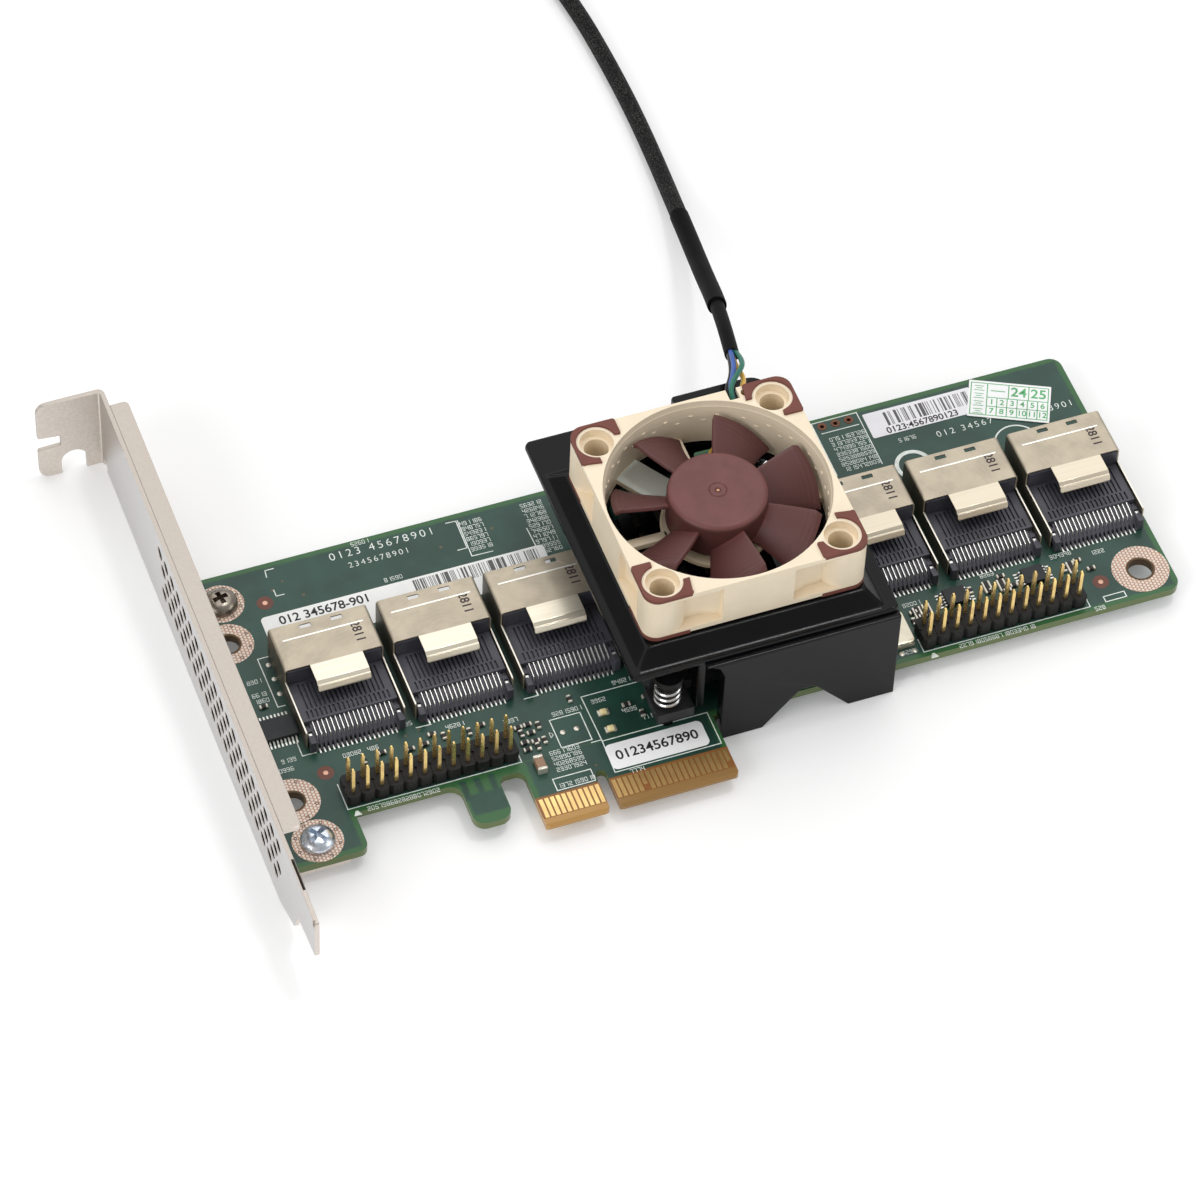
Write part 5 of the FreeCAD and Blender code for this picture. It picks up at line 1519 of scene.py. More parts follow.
@dataclass
class Fan:
    """Square fan with soft corner pads and a seven-blade rotor."""
    half: float = 20.0
    thick: float = 10.0
    corner: float = 2.6
    bore: float = 19.0
    hole: float = 16.0
    boss: float = 4.0
    pocket: float = 1.25
    screw_hole: float = 2.15
    pad_reach: float = 11.4
    pad_hook: float = 3.5
    blades: int = 7
    first_blade: float = 3.1
    blade_root: float = 8.4
    blade_reach: float = 9.65
    broad_turn: float = 124.0
    dashes: int = 26
    feed: tuple[Spot, ...] = ((8.0, 16.8, 1.4), (6.2, 15.8, 1.6), (4.4, 14.2, 1.7), (3.1, 11.6, 1.7),
                              (2.2, 8.6, 1.6))

    def build(self) -> None:
        """Make the frame, the pads and the rotor."""
        Bench.piece(self.frame(), "fan_frame_moulded", "fan_plastic", Paint.CREAM, ["fan_frame"], at=ON_FAN)
        for node, span in (("fan_upper_pads", (self.thick - 0.5, self.thick + 0.4)),
                           ("fan_lower_pads", (-0.4, 0.6))):
            Bench.piece(self.pads(span), f"{node}_soft", "fan_rubber", Paint.RUBBER, [node], at=ON_FAN)
        Bench.piece(self.rotor(), "impeller_moulded", "rotor_plastic", Paint.BROWN, ["impeller"], Body.ROTOR,
                    at=ON_FAN)
        centre = Bench.lathe([(0, 9.5), (0.34, 9.5), (0.3, 9.6), (0, 9.66)], 4)
        Bench.piece(centre, "impeller_centre_dot", "copper", Paint.DOT, body=Body.ROTOR, at=ON_FAN)
        film = Bench.slab(rounded((9.6, 18.9), (-2.84, 2.84), 0.3), (1.12, 1.26), bevel=0.02)
        film.data.transform(moved(0, 0, 0, self.broad_turn))
        Bench.piece(film, "fan_strut_film", "label_paper", Paint.STRUT, at=ON_FAN)
        Bench.piece(Bench.tube(self.feed, 0.36, sides=4), "fan_inner_wire", "wire_rubber",
                    Paint.WIRES["yellow"], at=ON_FAN)

    def corners(self) -> list[Span]:
        """Middles of the four screw holes."""
        return [(x * self.hole, y * self.hole) for x in (-1, 1) for y in (-1, 1)]

    def frame(self) -> Object:
        """Frame with flared bore, stepped holes, side pockets, motor plate and struts."""
        edge = self.half
        holes = [ring(0, 0, self.bore, 96)] + [ring(x, y, self.screw_hole, 28) for x, y in self.corners()]
        body = Bench.slab(rounded((-edge, edge), (-edge, edge), self.corner), (0, self.thick), holes=holes)
        flare = Bench.lathe([(0, 6.6), (self.bore, 6.6), (19.07, 7.9), (19.13, 7.98), (19.2, 8.8),
                             (19.28, 8.88), (19.4, 9.5), (19.6, 10.5), (0, 10.5)], 96)
        rim = Bench.lathe([(0, 8.4), (2.95, 8.4), (2.95, 10.5), (0, 10.5)], 28)
        rims = Bench.repeat(rim, [moved(x, y) for x, y in self.corners()])
        deep = edge - self.pocket
        boss = arc(self.hole, -self.hole, self.boss, 206, 268, 12)
        right = [(6.4, -edge - 0.5), (6.4, -deep), (9.5, -deep + 0.9), *boss, (self.hole - 0.2, -edge - 0.5)]
        left = [(-x, y) for x, y in reversed(right)]
        pockets = [Bench.repeat(Bench.slab(shape, (1.0, 9.0)), spokes(4)) for shape in (right, left)]
        slit = Bench.block((8.9, 10.8), (17.6, 21.0), (6.6, 11.0), 0.2)
        eye = Bench.lathe([(0, 6.6), (0.8, 6.6), (0.8, 11), (0, 11)], 20)
        eye.data.transform(moved(12.0, 18.5))
        gap = Bench.block((12.1, 12.7), (18.6, 21.0), (7.6, 11.0), 0.1)
        Bench.cut(body, flare, rims, *pockets, slit, eye, gap)
        Bench.ease(body, 0.2)
        plate = Bench.lathe([(0, 0), (9.2, 0), (9.5, 0.3), (9.5, 1.0), (9.2, 1.3), (3.0, 1.3), (3.0, 6.6),
                             (2.8, 6.8), (2.2, 6.8), (2.2, 0.7), (0, 0.7)], 64)
        struts = Bench.repeat(Bench.block((8.6, 19.3), (-0.9, 0.9), (0, 1.3), 0.25), spokes(4))
        broad = Bench.block((8.6, 19.3), (-2.8, 2.8), (0, 1.2), 0.25)
        broad.data.transform(moved(0, 0, 0, self.broad_turn))
        dash = Bench.block((18.86, 19.2), (-0.36, 0.36), (-0.09, 0.09), 0.05, 1)
        dashes = Bench.repeat(dash, [moved(0, 0, height, 360 / self.dashes * (index + shift))
                                     for index in range(self.dashes)
                                     for height, shift in ((6.9, 0.0), (5.6, 0.5))])
        return Bench.join(body, plate, struts, broad, dashes)

    def pads(self, span: Span) -> Object:
        """Four corner pads that hook round the screw holes and over the frame's edge.

        Args:
            span: heights between which the pads lie.

        Returns:
            The mesh object.
        """
        edge = self.half + 0.05
        inner = self.hole + 0.6
        reach = self.pad_reach
        outline = path((reach, edge, 0.5), (edge, edge, self.corner), (edge, reach, 0.5), (inner, reach, 0.4))
        outline += arc(self.hole, self.hole, self.pad_hook, -80, 170, 26) + [(reach, inner)]
        return Bench.repeat(Bench.slab(outline, span, bevel=0.12), spokes(4))

    def rotor(self) -> Object:
        """Hub with rounded rim and centre mark, and its blades."""
        hub = Bench.lathe([(0, 9.56), (0.3, 9.56), (0.42, 9.46), (0.55, 9.62), (1.35, 9.68), (1.5, 9.56),
                           (1.65, 9.68), (7.5, 9.7), (7.95, 9.64), (8.32, 9.44), (8.57, 9.1), (8.7, 8.6),
                           (8.7, 2.7), (8.6, 2.5), (7.9, 2.5), (7.9, 8.7), (2.1, 8.7), (2.1, 7.2),
                           (1.0, 7.2), (1.0, 8.7), (0, 8.7)], 72)
        return Bench.join(hub, Bench.repeat(self.blade(), spokes(self.blades, self.first_blade)))

    def blade(self) -> Object:
        """One cambered blade with fine ridges towards its tip."""
        blade = Bench.fresh(bpy.ops.mesh.primitive_grid_add, x_subdivisions=32, y_subdivisions=12, size=2)
        for vertex in blade.data.vertices:
            out = (vertex.co.x + 1) / 2
            chord = (vertex.co.y + 1) / 2
            radius = self.blade_root + out * self.blade_reach
            sweep = 2.2 * math.sin(math.pi * out) * (1 - chord)
            turn = math.radians((18.9 - 2.3 * out) * (2 * chord - 1) + sweep)
            low = 3.9 - 1.6 * out
            high = 8.2 + 0.8 * out - 0.9 * max(0.0, out - 0.88) / 0.12 * chord
            rise = chord + 0.09 * math.sin(math.pi * chord)
            ridged = 0.7 < out < 0.97 and 0.08 < chord < 0.8
            ridge = 0.1 * max(0.0, math.sin(out * 62)) if ridged else 0.0
            vertex.co = (radius * math.cos(turn), radius * math.sin(turn), low + (high - low) * rise + ridge)
        Bench.apply(blade, "SOLIDIFY", thickness=0.7, offset=-1.0)
        Bench.ease(blade, 0.2, 50.0)
        return blade


@dataclass
class Cooling:
    """Fan shroud and the springs of the push pins."""
    lip: tuple[Span, Span] = ((18.2, 66.4), (11.7, 66.4))
    foot: tuple[Span, Span] = ((19.2, 63.9), (12.6, 58.0))
    deck: tuple[Span, Span] = ((22.2, 61.6), (16.0, 55.9))
    hollow: tuple[Span, Span] = ((22.3, 62.3), (15.8, 55.9))
    slope: tuple[Span, ...] = (
        (-0.22, 18.0), (-0.1, 18.03), (0.0, 18.1), (0.08, 18.21), (0.17, 18.36), (0.5, 19.0), (0.82, 19.65),
        (0.9, 19.8), (0.98, 19.91), (1.08, 19.98), (1.2, 20.01), (1.5, 20.01), (1.5, 18.4), (-0.22, 17.7))
    duct: float = 18.7
    sink: Span = (36.6, 37.0)
    stud_reach: float = 16.0
    floor: float = -BOARD_TOP
    front_legs: tuple[Span, Span] = ((34.4, 42.2), (58.0, 66.4))
    pins: tuple[Span, Span] = ((26.0, 14.9), (58.4, 58.1))
    coil_radius: float = 2.05
    coil_wire: float = 0.31
    coil_low: float = 5.2
    coil_high: float = 10.3
    turns: float = 3.5

    def build(self) -> None:
        """Make the shroud and the springs."""
        shroud = Bench.join(*self.top(), self.front(), *self.walls())
        Bench.piece(shroud, "fan_shroud_ridged", "shroud_plastic", Paint.SHROUD, ["fan_shroud"])
        steps = round(self.turns * 24)
        line = []
        for step in range(steps + 1):
            share = step / steps
            turn = 2 * math.pi * self.turns * share
            line.append(Vector((self.coil_radius * math.cos(turn), self.coil_radius * math.sin(turn),
                                self.coil_low + (self.coil_high - self.coil_low) * share)))
        coil = Bench.tube(line, self.coil_wire, sides=2)
        Bench.piece(Bench.repeat(coil, [moved(x, y) for x, y in self.pins]), "push_pin_coils", "spring_steel",
                    Paint.SPRING, ["push_pin_springs"])

    def top(self) -> list[Object]:
        """Lip, slopes, deck with the duct, and the raised block at the back."""
        (left, right), (near, far) = self.hollow
        hollow = [(left, near), (right, near), (right, far), (left, far)]
        lip = Bench.slab(rounded(*self.lip, 1.2), (16.6, 18.0), holes=[hollow], bevel=0.5)
        deck = Bench.slab(rounded(*self.deck, 0.8), (18.4, 20.0), holes=[ring(*FAN_MIDDLE, self.duct, 96)],
                          bevel=0.1)
        block = Bench.slab(path((45.2, 54.9), (62.3, 54.9), (62.3, 66.4, 3.2), (45.2, 66.4, 0.6)),
                           (17.4, 20.0), bevel=0.45)
        return [lip, deck, block, self.slopes()]

    def slopes(self) -> Object:
        """Ring of four slopes from the lip to the deck, rounded where it meets them."""
        points: list[Spot] = []
        for share, height in self.slope:
            spans = [tuple(low + (high - low) * share for low, high in zip(*sides))
                     for sides in zip(self.foot, self.deck)]
            points += [(*place, height) for place in rounded(*spans, 0.8)]
        rows = len(self.slope)
        count = len(points) // rows
        faces = []
        for row in range(rows):
            here = row * count
            above = (row + 1) % rows * count
            for index in range(count):
                after = (index + 1) % count
                faces.append((here + index, here + after, above + after, above + index))
        mesh = bpy.data.meshes.new("slopes")
        mesh.from_pydata(points, [], faces)
        slopes = Bench.add(mesh)
        Bench.close(slopes)
        return slopes

    def front(self) -> Object:
        """Front wall with its arch, proud of the lip, hooked under the board."""
        (left, inner_left), (inner_right, right) = self.front_legs
        wall = Bench.slab(path((31.2, 16.9, 0.3), (31.2, 16.6), (33.5, 15.6, 0.8), (left, 13.2, 0.8),
                               (left, self.floor), (inner_left, self.floor, 0.3), (48.8, 3.63, 0.5),
                               (51.4, 3.63, 0.5), (inner_right, self.floor, 0.3), (right, self.floor),
                               (right, 16.9, 0.4)), (10.7, 13.0), Axis.Y, bevel=0.32)
        hooks = [Bench.block(leg, (12.8, 14.6), (self.floor, -1.6), 0.2) for leg in self.front_legs]
        return Bench.join(wall, *hooks)

    def walls(self) -> list[Object]:
        """Post by the near push pin, walls beside the heatsink and at the back, studs in the fan's holes."""
        x, y = FAN_MIDDLE
        out = self.sink[0] / 2 + 0.3
        along = (y - self.sink[1] / 2 + 1.0, y + self.sink[1] / 2 - 2.5)
        sides = [Bench.block(span, along, (7.3, 18.6), 0.2)
                 for span in ((x - out - 1.3, x - out), (x + out, x + out + 1.3))]
        stud = Bench.lathe([(0, 19.8), (1.95, 19.8), (1.95, 22.7), (1.65, 23.0), (0, 23.0)], 28)
        shifts = (-self.stud_reach, self.stud_reach)
        studs = Bench.repeat(stud, [moved(x + across, y + deep) for across in shifts for deep in shifts])
        return [Bench.block((30.4, 31.9), (12.8, 15.5), (4.0, 16.8), 0.25),
                Bench.block((27.0, 50.0), (65.1, 66.4), (0.02, 16.9), 0.3), *sides, studs]


@dataclass
class Stickers:
    """Labels on the board."""
    thick: float = 0.1
    numbers: tuple[Words, ...] = (
        ("012 345678-901", 2.5, -21.4, 55.9), ("01234567890", 2.7, 22.6, 10.1),
        ("0123:4567890123", 1.9, 92.4, 62.3))
    grid_turn: float = -25.5
    grid_spot: Span = (108.8, 61.7)
    grid_edge: float = 6.9
    grid_high: float = 3.7
    grid_split: float = 0.5
    grid_left: float = -4.0
    cell: float = 1.817

    def build(self) -> None:
        """Make the four labels and the printed grid."""
        for node, outline, finish in (
                ("label_strip", rounded((-32.6, 19.0), (50.4, 57.6), 0.8), Paint.STRIP),
                ("label_plain", rounded((13.9, 31.4), (7.4, 12.8), 1.0), Paint.FILM),
                ("label_bars", rounded((82.7, 103.2), (61.4, 67.2), 0.3), Paint.BARS)):
            film = Bench.slab(outline, (0, self.thick), bevel=0.03)
            Bench.piece(film, f"{node}_film", "label_paper", finish, [node])
        Bench.piece(Bench.join(*self.printed(self.numbers)), "label_numbers", "label_paper", Paint.BLACK_INK)
        at = moved(*self.grid_spot, BOARD_TOP + self.thick, self.grid_turn)
        film = Bench.slab(rounded((-7.35, 7.35), (-4.25, 4.25), 0.2), (0, self.thick), bevel=0.03)
        Bench.piece(film, "label_grid_film", "label_paper", Paint.FILM, ["label_grid"], at=at)
        Bench.piece(self.grid(), "label_grid_print", "label_paper", Paint.GREEN_INK, at=at)

    def printed(self, rows: Sequence[Words]) -> list[Object]:
        """Numbers on a film, each with its size and place."""
        return [Bench.text(words, size, moved(x, y, self.thick + 0.01)) for words, size, x, y in rows]

    def grid(self) -> Object:
        """Ruled boxes with plain numbers."""
        ink = Ink(self.thick - 0.02, 0.03)
        edge, high, split, left = self.grid_edge, self.grid_high, self.grid_split, self.grid_left
        for start, y in ((-edge, -high), (left, -1.6), (left, split), (-edge, high)):
            ink.line(start, y, edge, y)
        for x in (-edge, left, edge):
            ink.line(x, -high, x, high)
        for x in (-0.2, 3.4):
            ink.line(x, split, x, high)
        for x in [left + index * self.cell for index in range(1, 6)]:
            ink.line(x, -high, x, split)
        for row in range(4):
            for step, (start, stop) in enumerate(((-6.2, -4.7), (-5.9, -5.0), (-6.3, -4.6))):
                y = 3.0 - row * 1.8 - step * 0.5
                ink.line(start, y, stop, y, 0.16)
        ink.line(-3.3, 2.1, -0.9, 2.1, 0.2)
        words = [(str(row * 6 + column + 1), 1.7, left + (column + 0.5) * self.cell, -0.55 - row * 2.1)
                 for row in range(2) for column in range(6)]
        words += [("24", 2.9, 1.6, 2.1), ("25", 2.9, 5.15, 2.1)]
        return Bench.join(ink.mesh(), *self.printed(words))


class Ink:
    """Printed lines: thin bars of one thickness."""
    WIDE = 0.18
    STROKES = {"a": (0, 1, 1, 1), "b": (1, 1, 1, 0.5), "c": (1, 0.5, 1, 0), "d": (0, 0, 1, 0),
               "e": (0, 0, 0, 0.5), "f": (0, 0.5, 0, 1), "g": (0, 0.5, 1, 0.5)}
    DIGITS = ("abcdef", "bc", "abged", "abgcd", "fgbc", "afgcd", "afgedc", "abc", "abcdefg", "abcdfg")
    DIGIT_SIZE = (0.42, 0.78)
    DIGIT_PITCH = (0.68, 1.2)
    DIGIT_STROKE = 0.11

    def __init__(self, low: float, thick: float) -> None:
        """Start a print.

        Args:
            low: height of its underside.
            thick: its thickness.
        """
        self.low = low
        self.thick = thick
        self.bars: list[Matrix] = []

    def line(self, x0: float, y0: float, x1: float, y1: float, wide: float = WIDE) -> None:
        """One straight line between two places.

        Args:
            x0, y0: where it starts.
            x1, y1: where it ends.
            wide: width of the stroke.
        """
        run = Vector((x1 - x0, y1 - y0))
        turn = math.degrees(math.atan2(run.y, run.x))
        self.bars.append(moved((x0 + x1) / 2, (y0 + y1) / 2, self.low, turn)
                         @ Matrix.Diagonal((run.length + wide, wide, self.thick, 1)))

    def trace(self, *points: Span) -> None:
        """Lines through points."""
        for here, ahead in zip(points, points[1:]):
            self.line(*here, *ahead)

    def frame(self, x: Span, y: Span) -> None:
        """A rectangle."""
        self.trace((x[0], y[0]), (x[1], y[0]), (x[1], y[1]), (x[0], y[1]), (x[0], y[0]))

    def ticks(self, x: float, y: float, columns: int, rows: int, dice: random.Random) -> None:
        """A block of small plain digits drawn with straight strokes, like a board's part marks.

        Args:
            x, y: lower left end.
            columns: digits in a row.
            rows: rows of digits.
            dice: picks the digits.
        """
        wide, high = self.DIGIT_SIZE
        for row in range(rows):
            for column in range(columns):
                left = x + column * self.DIGIT_PITCH[0]
                base = y + row * self.DIGIT_PITCH[1]
                for name in dice.choice(self.DIGITS):
                    x0, y0, x1, y1 = self.STROKES[name]
                    self.line(left + x0 * wide, base + y0 * high, left + x1 * wide, base + y1 * high,
                              self.DIGIT_STROKE)

    def mesh(self) -> Object:
        """All lines as one object."""
        return Bench.repeat(Bench.block((-0.5, 0.5), (-0.5, 0.5), (0, 1), 0.04, 1), self.bars)


@dataclass
class Board:
    """Prints, copper rings and small parts on the circuit board."""
    rings: tuple[Hole, ...] = (
        (115.8, 19.05, 2.3, 5.1), (-39.4, 54.0, 2.0, 4.4), (-39.4, 18.7, 2.0, 4.7), (-38.0, 62.8, 1.6, 4.1),
        (-38.0, 9.6, 1.6, 4.4))
    jumpers: tuple[Span, ...] = ((75.0, 66.95), (77.54, 66.95), (80.08, 66.95))
    dots: tuple[Span, ...] = ((-30.7, 60.6), (-32.3, 22.6), (108.1, 18.6))
    outlines: tuple[tuple[Span, ...], ...] = (
        ((-28.7, 65.9), (-28.5, 67.4), (-27.0, 67.4)), ((-28.4, 62.8), (-28.4, 61.4), (-27.0, 61.4)),
        ((4.6, 67.4), (6.4, 67.3), (6.3, 61.0), (4.6, 61.0)), ((6.7, 67.3), (6.5, 59.0), (10.3, 58.9)),
        ((-33.0, 49.3), (-35.7, 49.3), (-35.6, 38.4), (-34.3, 38.4)), ((-34.9, 27.2), (-32.4, 27.2)),
        ((-34.9, 27.2), (-34.9, 30.2)), ((-14.8, 26.7), (-12.2, 26.6)), ((4.6, 26.6), (7.2, 26.6)),
        ((-31.2, 19.6), (-31.2, 14.1), (-0.3, 14.1), (-0.3, 16.5)),
        ((73.1, 17.0), (73.1, 14.1), (104.2, 14.1), (104.2, 17.0)),
        ((25.5, 23.9), (13.9, 23.9), (14.1, 13.9), (33.1, 13.9), (33.1, 7.0), (13.9, 7.0), (14.1, 13.9)),
        ((12.3, 14.2), (14.1, 14.2)), ((73.4, 68.1), (73.4, 55.6)),
        ((73.4, 68.1), (82.0, 68.1), (82.0, 55.6)), ((74.4, 65.4), (81.4, 65.4)),
        ((17.6, 61.8), (17.9, 55.1)))
    frames: tuple[tuple[Span, Span], ...] = (
        ((7.1, 12.6), (14.8, 20.9)), ((3.4, 10.2), (6.5, 9.0)), ((107.2, 111.1), (14.2, 15.4)))
    arrows: tuple[Span, ...] = ((-29.9, 12.9), (74.5, 12.9))
    digits: tuple[tuple[float, float, int, int], ...] = (
        (-12.6, 67.7, 5, 1), (-9.6, 58.3, 5, 1), (-39.0, 44.4, 4, 1), (-39.0, 41.5, 4, 1),
        (-39.0, 40.1, 4, 1), (-38.6, 26.7, 4, 1), (-39.6, 24.9, 4, 1), (-28.4, 24.6, 5, 1),
        (-10.0, 24.7, 5, 1), (20.0, 24.6, 5, 1),
        (6.9, 60.0, 6, 6), (18.2, 55.6, 6, 10), (4.8, 10.2, 8, 4), (3.8, 6.9, 10, 1), (8.0, 21.5, 8, 1),
        (15.2, 21.9, 4, 1), (19.6, 18.4, 4, 1), (22.2, 16.0, 4, 1), (16.4, 5.9, 4, 1), (75.2, 56.0, 10, 7),
        (86.8, 59.2, 5, 1), (108.9, 24.6, 4, 1), (69.4, 14.6, 4, 1), (-0.4, 22.6, 4, 1), (104.8, 12.9, 3, 1),
        (73.4, 24.2, 5, 1), (88.6, 26.0, 4, 1), (101.8, 26.0, 6, 1), (-17.0, 27.6, 3, 1), (-24.0, 24.6, 3, 1),
        (-28.0, 12.75, 19, 1), (79.4, 12.9, 21, 1))
    circles: tuple[Hole, ...] = ((87.2, 53.6, 3.4, 0.75), (106.6, 52.4, 4.2, 0.3))
    numbers: tuple[Words, ...] = (
        ("0123 45678901", 2.3, -7.5, 66.5), ("2345678901", 1.7, -8.9, 63.8), ("012 34567", 1.9, 99.0, 58.7),
        ("8901", 1.9, 117.2, 58.0))
    blobs: tuple[Span, ...] = ((8.4, 17.8), (10.9, 17.8), (-34.3, 47.5), (-34.3, 44.3), (-34.4, 41.0),
                               (71.7, 14.9), (69.3, 14.9))
    small: tuple[Spot, ...] = (
        (1.5, 21.0, 0), (3.2, 21.1, 0), (1.6, 19.6, 90), (3.2, 19.3, 0), (4.9, 20.4, 90), (1.5, 17.6, 0),
        (3.4, 17.4, 0), (4.9, 17.1, 90), (1.5, 16.1, 0), (3.4, 16.2, 90), (-12.8, 24.4, 0), (-11.0, 23.4, 90),
        (-17.2, 22.6, 0), (-14.6, 22.8, 0), (-4.3, 23.6, 0), (-6.6, 22.9, 90), (-22.0, 23.4, 0),
        (-25.4, 22.8, 90), (-37.9, 39.1, 0), (74.5, 22.6, 0), (73.9, 20.7, 90), (75.8, 21.4, 0),
        (85.7, 23.9, 90), (91.9, 25.2, 0), (103.1, 23.2, 90), (105.9, 24.2, 0), (91.9, 21.9, 0),
        (89.2, 22.4, 90), (93.4, 22.6, 0), (20.6, 19.8, 0), (22.6, 17.2, 90), (24.4, 20.4, 0),
        (11.8, 24.0, 90), (107.6, 21.8, 0))
    packs: tuple[Span, ...] = ((75.2, 22.2), (77.0, 22.4), (88.8, 23.6), (91.4, 23.2), (104.4, 23.0))
    chips: tuple[tuple[Span, Span, float, int, bool], ...] = (
        ((-38.0, 33.6), (7.8, 4.4), 1.1, 11, True), ((82.7, 23.4), (4.0, 3.4), 1.0, 5, False),
        ((97.4, 23.4), (4.0, 3.4), 1.0, 5, False))
    leg_pitch: float = 0.66
    lamps: Span = (19.4, 15.7)
    can: tuple[Span, Span] = ((67.2, 72.2), (15.9, 22.9))

    def build(self) -> None:
        """Add what is on the board."""
        self.add_rings()
        self.add_print()
        self.add_small_parts()
        self.add_chips()
        self.add_lamps()

    def add_rings(self) -> None:
        """Bare copper rings round the holes, and round copper marks."""
        faces = [Bench.slab(ring(x, y, outer, 64), (-0.02, 0.05), holes=[ring(x, y, hole + 0.25, 48)],
                            bevel=0.02) for x, y, hole, outer in self.rings]
        Bench.piece(Bench.join(*faces), "copper_rings", "gold", Paint.PAD)
        # The barrels' dark finish is painted shade for the holes
        plated = [self.barrel(x, y, hole, 0.3) for x, y, hole, _ in self.rings]
        Bench.piece(Bench.join(*plated), "plated_barrels", "gold", Paint.BARREL)
        jumpers = [self.barrel(x, y, 0.5, 0.36) for x, y in self.jumpers]
        Bench.piece(Bench.join(*jumpers), "jumper_rings", "gold", Paint.JUMPER)
        via = Bench.lathe([(0, 0.02), (0.14, 0.03), (0.2, 0.09), (0.3, 0.06), (0.32, -0.02)], 10)
        turns = [math.radians(20 + 45 * step) for step in range(8)]
        places = [moved(x + (outer - 0.6) * math.cos(turn), y + (outer - 0.6) * math.sin(turn))
                  for x, y, _, outer in self.rings[1:] for turn in turns]
        Bench.piece(Bench.repeat(via, places), "ring_vias", "gold", Paint.VIA)
        for name, radius, high, finish in (("mark_rims", 1.45, 0.02, Paint.TARNISH),
                                           ("mark_dots", 0.45, 0.05, Paint.FIDUCIAL)):
            dot = Bench.lathe([(0, -0.02), (radius, -0.02), (radius, high * 0.5), (radius - 0.05, high),
                               (0, high)], 24)
            dots = Bench.repeat(dot, [moved(x, y) for x, y in self.dots])
            Bench.piece(dots, name, "gold", finish)

    def barrel(self, x: float, y: float, hole: float, wide: float) -> Object:
        """Plated wall of one hole with its raised rim.

        Args:
            x, y: the hole's middle.
            hole: the hole's radius.
            wide: width of the rim.

        Returns:
            The mesh object.
        """
        inner = hole - 0.12
        outer = hole + wide
        barrel = Bench.lathe([(inner, -1.6), (inner, 0.03), (hole, 0.08), (outer - 0.05, 0.08), (outer, 0.0),
                              (outer, -0.02), (hole + 0.02, -0.02), (hole + 0.02, -1.6), (inner, -1.6)], 40)
        barrel.data.transform(moved(x, y))
        return barrel

    def add_print(self) -> None:
        """White outlines, arrows, circles, digits and numbers, and bare solder blobs."""
        dice = random.Random(7)
        ink = Ink(-0.01, 0.04)
        for points in self.outlines:
            ink.trace(*points)
        for x, y in self.frames:
            ink.frame(x, y)
        for x, y in self.arrows:
            for step in range(5):
                level = y - 0.4 + step * 0.2
                ink.line(x - 0.55 + step * 0.1, level, x + 0.55 - step * 0.1, level, 0.2)
        for step in range(5):
            ink.line(6.2 + step * 0.1, 17.4 + step * 0.1, 6.2 + step * 0.1, 18.4 - step * 0.1, 0.2)
        for x, y, columns, rows in self.digits:
            ink.ticks(x, y, columns, rows, dice)
        rings = [Bench.slab(ring(x, y, radius, 48), (-0.01, 0.03), holes=[ring(x, y, radius - wide, 48)])
                 for x, y, radius, wide in self.circles]
        words = [Bench.text(digits, size, moved(x, y, 0.01), 1.35, -0.008)
                 for digits, size, x, y in self.numbers]
        Bench.piece(Bench.join(ink.mesh(), *rings, *words), "board_print", "label_paper", Paint.INK)
        blob = Bench.lathe([(0, -0.02), (0.5, -0.02), (0.48, 0.08), (0.3, 0.16), (0, 0.18)], 16)
        blobs = Bench.repeat(blob, [moved(x, y) for x, y in self.blobs])
        Bench.piece(blobs, "solder_blobs", "can_metal", Paint.SOLDER)

    def add_small_parts(self) -> None:
        """Chip resistors and capacitors with their soldered ends."""
        dice = random.Random(11)
        body = Bench.block((-0.36, 0.36), (-0.38, 0.38), (0, 0.5), 0.05, 1)
        ends = Bench.repeat(Bench.block((-0.78, -0.34), (-0.4, 0.4), (0, 0.52), 0.1, 1), spokes(2))
        places = [moved(x, y, 0, turn + dice.uniform(-2, 2)) for x, y, turn in self.small]
        places += [moved(x, y + step * 0.62 - 0.93) for x, y in self.packs for step in range(4)]
        Bench.piece(Bench.repeat(body, places), "small_part_bodies", "chip_plastic", Paint.SMALL)
        Bench.piece(Bench.repeat(ends, places), "small_part_ends", "can_metal", Paint.SOLDER)

    def add_chips(self) -> None:
        """Logic chips with bent legs on two sides."""
        cases = []
        legs = []
        leg = Bench.slab([(-0.1, 0.5), (0.35, 0.5), (0.7, 0.14), (1.3, 0.12), (1.3, 0.0), (0.6, 0.0),
                          (0.25, 0.36), (-0.1, 0.36)], (-0.15, 0.15), Axis.X)
        for (x, y), (long, deep), high, count, lengthwise in self.chips:
            case = Bench.block(about(x, long / 2), about(y, deep / 2), (0.1, high), 0.12)
            dimple = Bench.lathe([(0, high - 0.06), (0.35, high - 0.06), (0.35, high + 1), (0, high + 1)], 20)
            dimple.data.transform(moved(x - long / 2 + 0.9, y - deep / 2 + 0.8))
            Bench.cut(case, dimple)
            cases.append(case)
            for shift in centred(count, self.leg_pitch):
                if lengthwise:
                    legs += [moved(x + shift, y + deep / 2), moved(x + shift, y - deep / 2, 0, 180)]
                else:
                    legs += [moved(x - long / 2, y + shift, 0, 90), moved(x + long / 2, y + shift, 0, -90)]
        Bench.piece(Bench.join(*cases), "logic_chip_cases", "chip_plastic", Paint.CHIP, ["logic_chips"])
        Bench.piece(Bench.repeat(leg, legs), "logic_chip_legs", "can_metal", Paint.LEG)

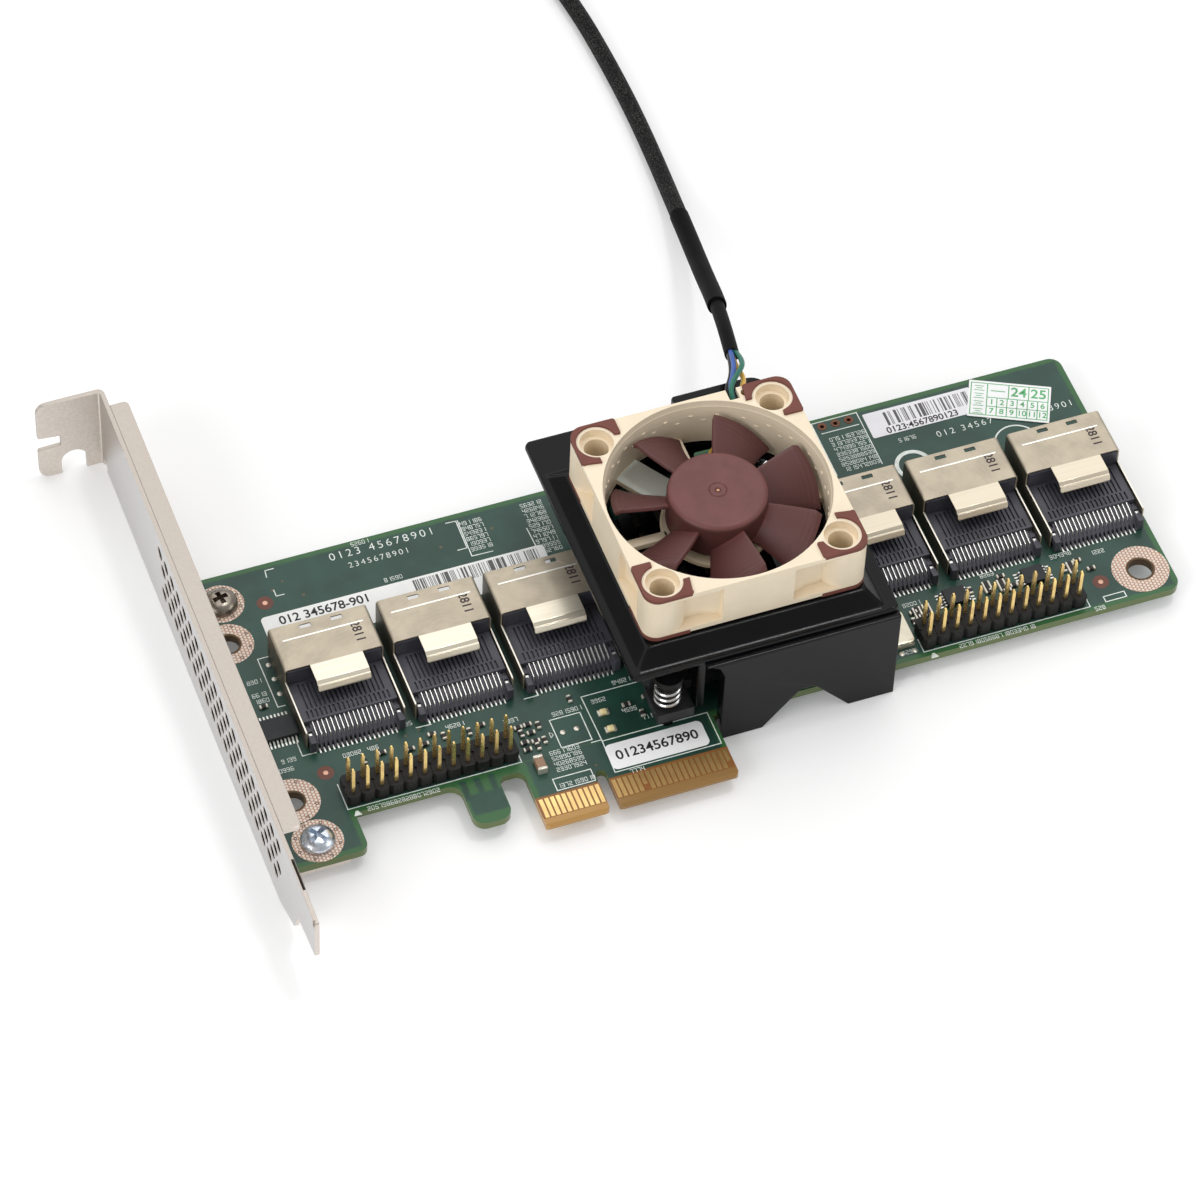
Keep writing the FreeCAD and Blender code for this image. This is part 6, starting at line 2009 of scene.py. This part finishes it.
    def add_lamps(self) -> None:
        """Indicator lamps, capacitor and clock can."""
        lenses = [Bench.block((15.7, 16.9), about(y, 0.55), (0, 0.8), 0.2, 3) for y in self.lamps]
        ends = [Bench.block(about(x, 0.32), about(y, 0.62), (0, 0.4), 0.06)
                for y in self.lamps for x in (15.62, 16.98)]
        Bench.piece(Bench.join(*lenses), "status_lamp_lenses", "lamp_plastic", Paint.LAMP, ["status_lamps"])
        tan = Bench.block((1.5, 3.1), (11.1, 13.1), (0.05, 1.5), 0.12)
        Bench.piece(tan, "capacitor_body", "capacitor_ceramic", Paint.CERAMIC, ["chip_capacitor"])
        ends += [Bench.block((1.45, 3.15), about(y, 0.3), (0, 1.55), 0.14) for y in (10.8, 13.4)]
        Bench.piece(Bench.join(*ends), "soldered_ends", "can_metal", Paint.SOLDER)
        lid = Bench.slab(rounded(*self.can, 0.7), (0.3, 1.5), bevel=0.15)
        foot = Bench.slab(rounded(*self.can, 0.4), (0.0, 0.45), bevel=0.05)
        Bench.piece(Bench.join(lid, foot), "clock_can_lidded", "can_metal", Paint.CAN, ["clock_can"])


def dress_kept_nodes() -> None:
    """Give the CAD nodes that stay their own finishes."""
    kept = {"circuit_board": Paint.BOARD, "edge_contacts": Paint.CONTACTS, "expander_chip": Paint.CHIP,
            "thermal_pad": Paint.GREY_PAD, "heatsink": Paint.SINK, "push_pins": Paint.PEG,
            "fan_bush": Paint.BRASS, "fan_driver_board": Paint.CHIP, "stator_core": Paint.STEEL,
            "stator_coils": Paint.COPPER, "rotor_yoke": Paint.STEEL, "rotor_magnet": Paint.MAGNET,
            "rotor_shaft": Paint.STEEL}
    for node, finish in kept.items():
        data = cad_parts[node].data
        data.materials.clear()
        data.materials.append(finish.material())
        LOG.info("node %s keeps its shape", node)


def main() -> None:
    """Build everything."""
    logging.basicConfig(level=logging.INFO, format="%(message)s")
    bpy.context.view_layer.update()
    for part in (Studio(), Lead(), Bracket(), Ports(), Headers(), Fan(), Cooling(), Stickers(), Board()):
        part.build()
    dress_kept_nodes()


if __name__ == "__main__":
    main()
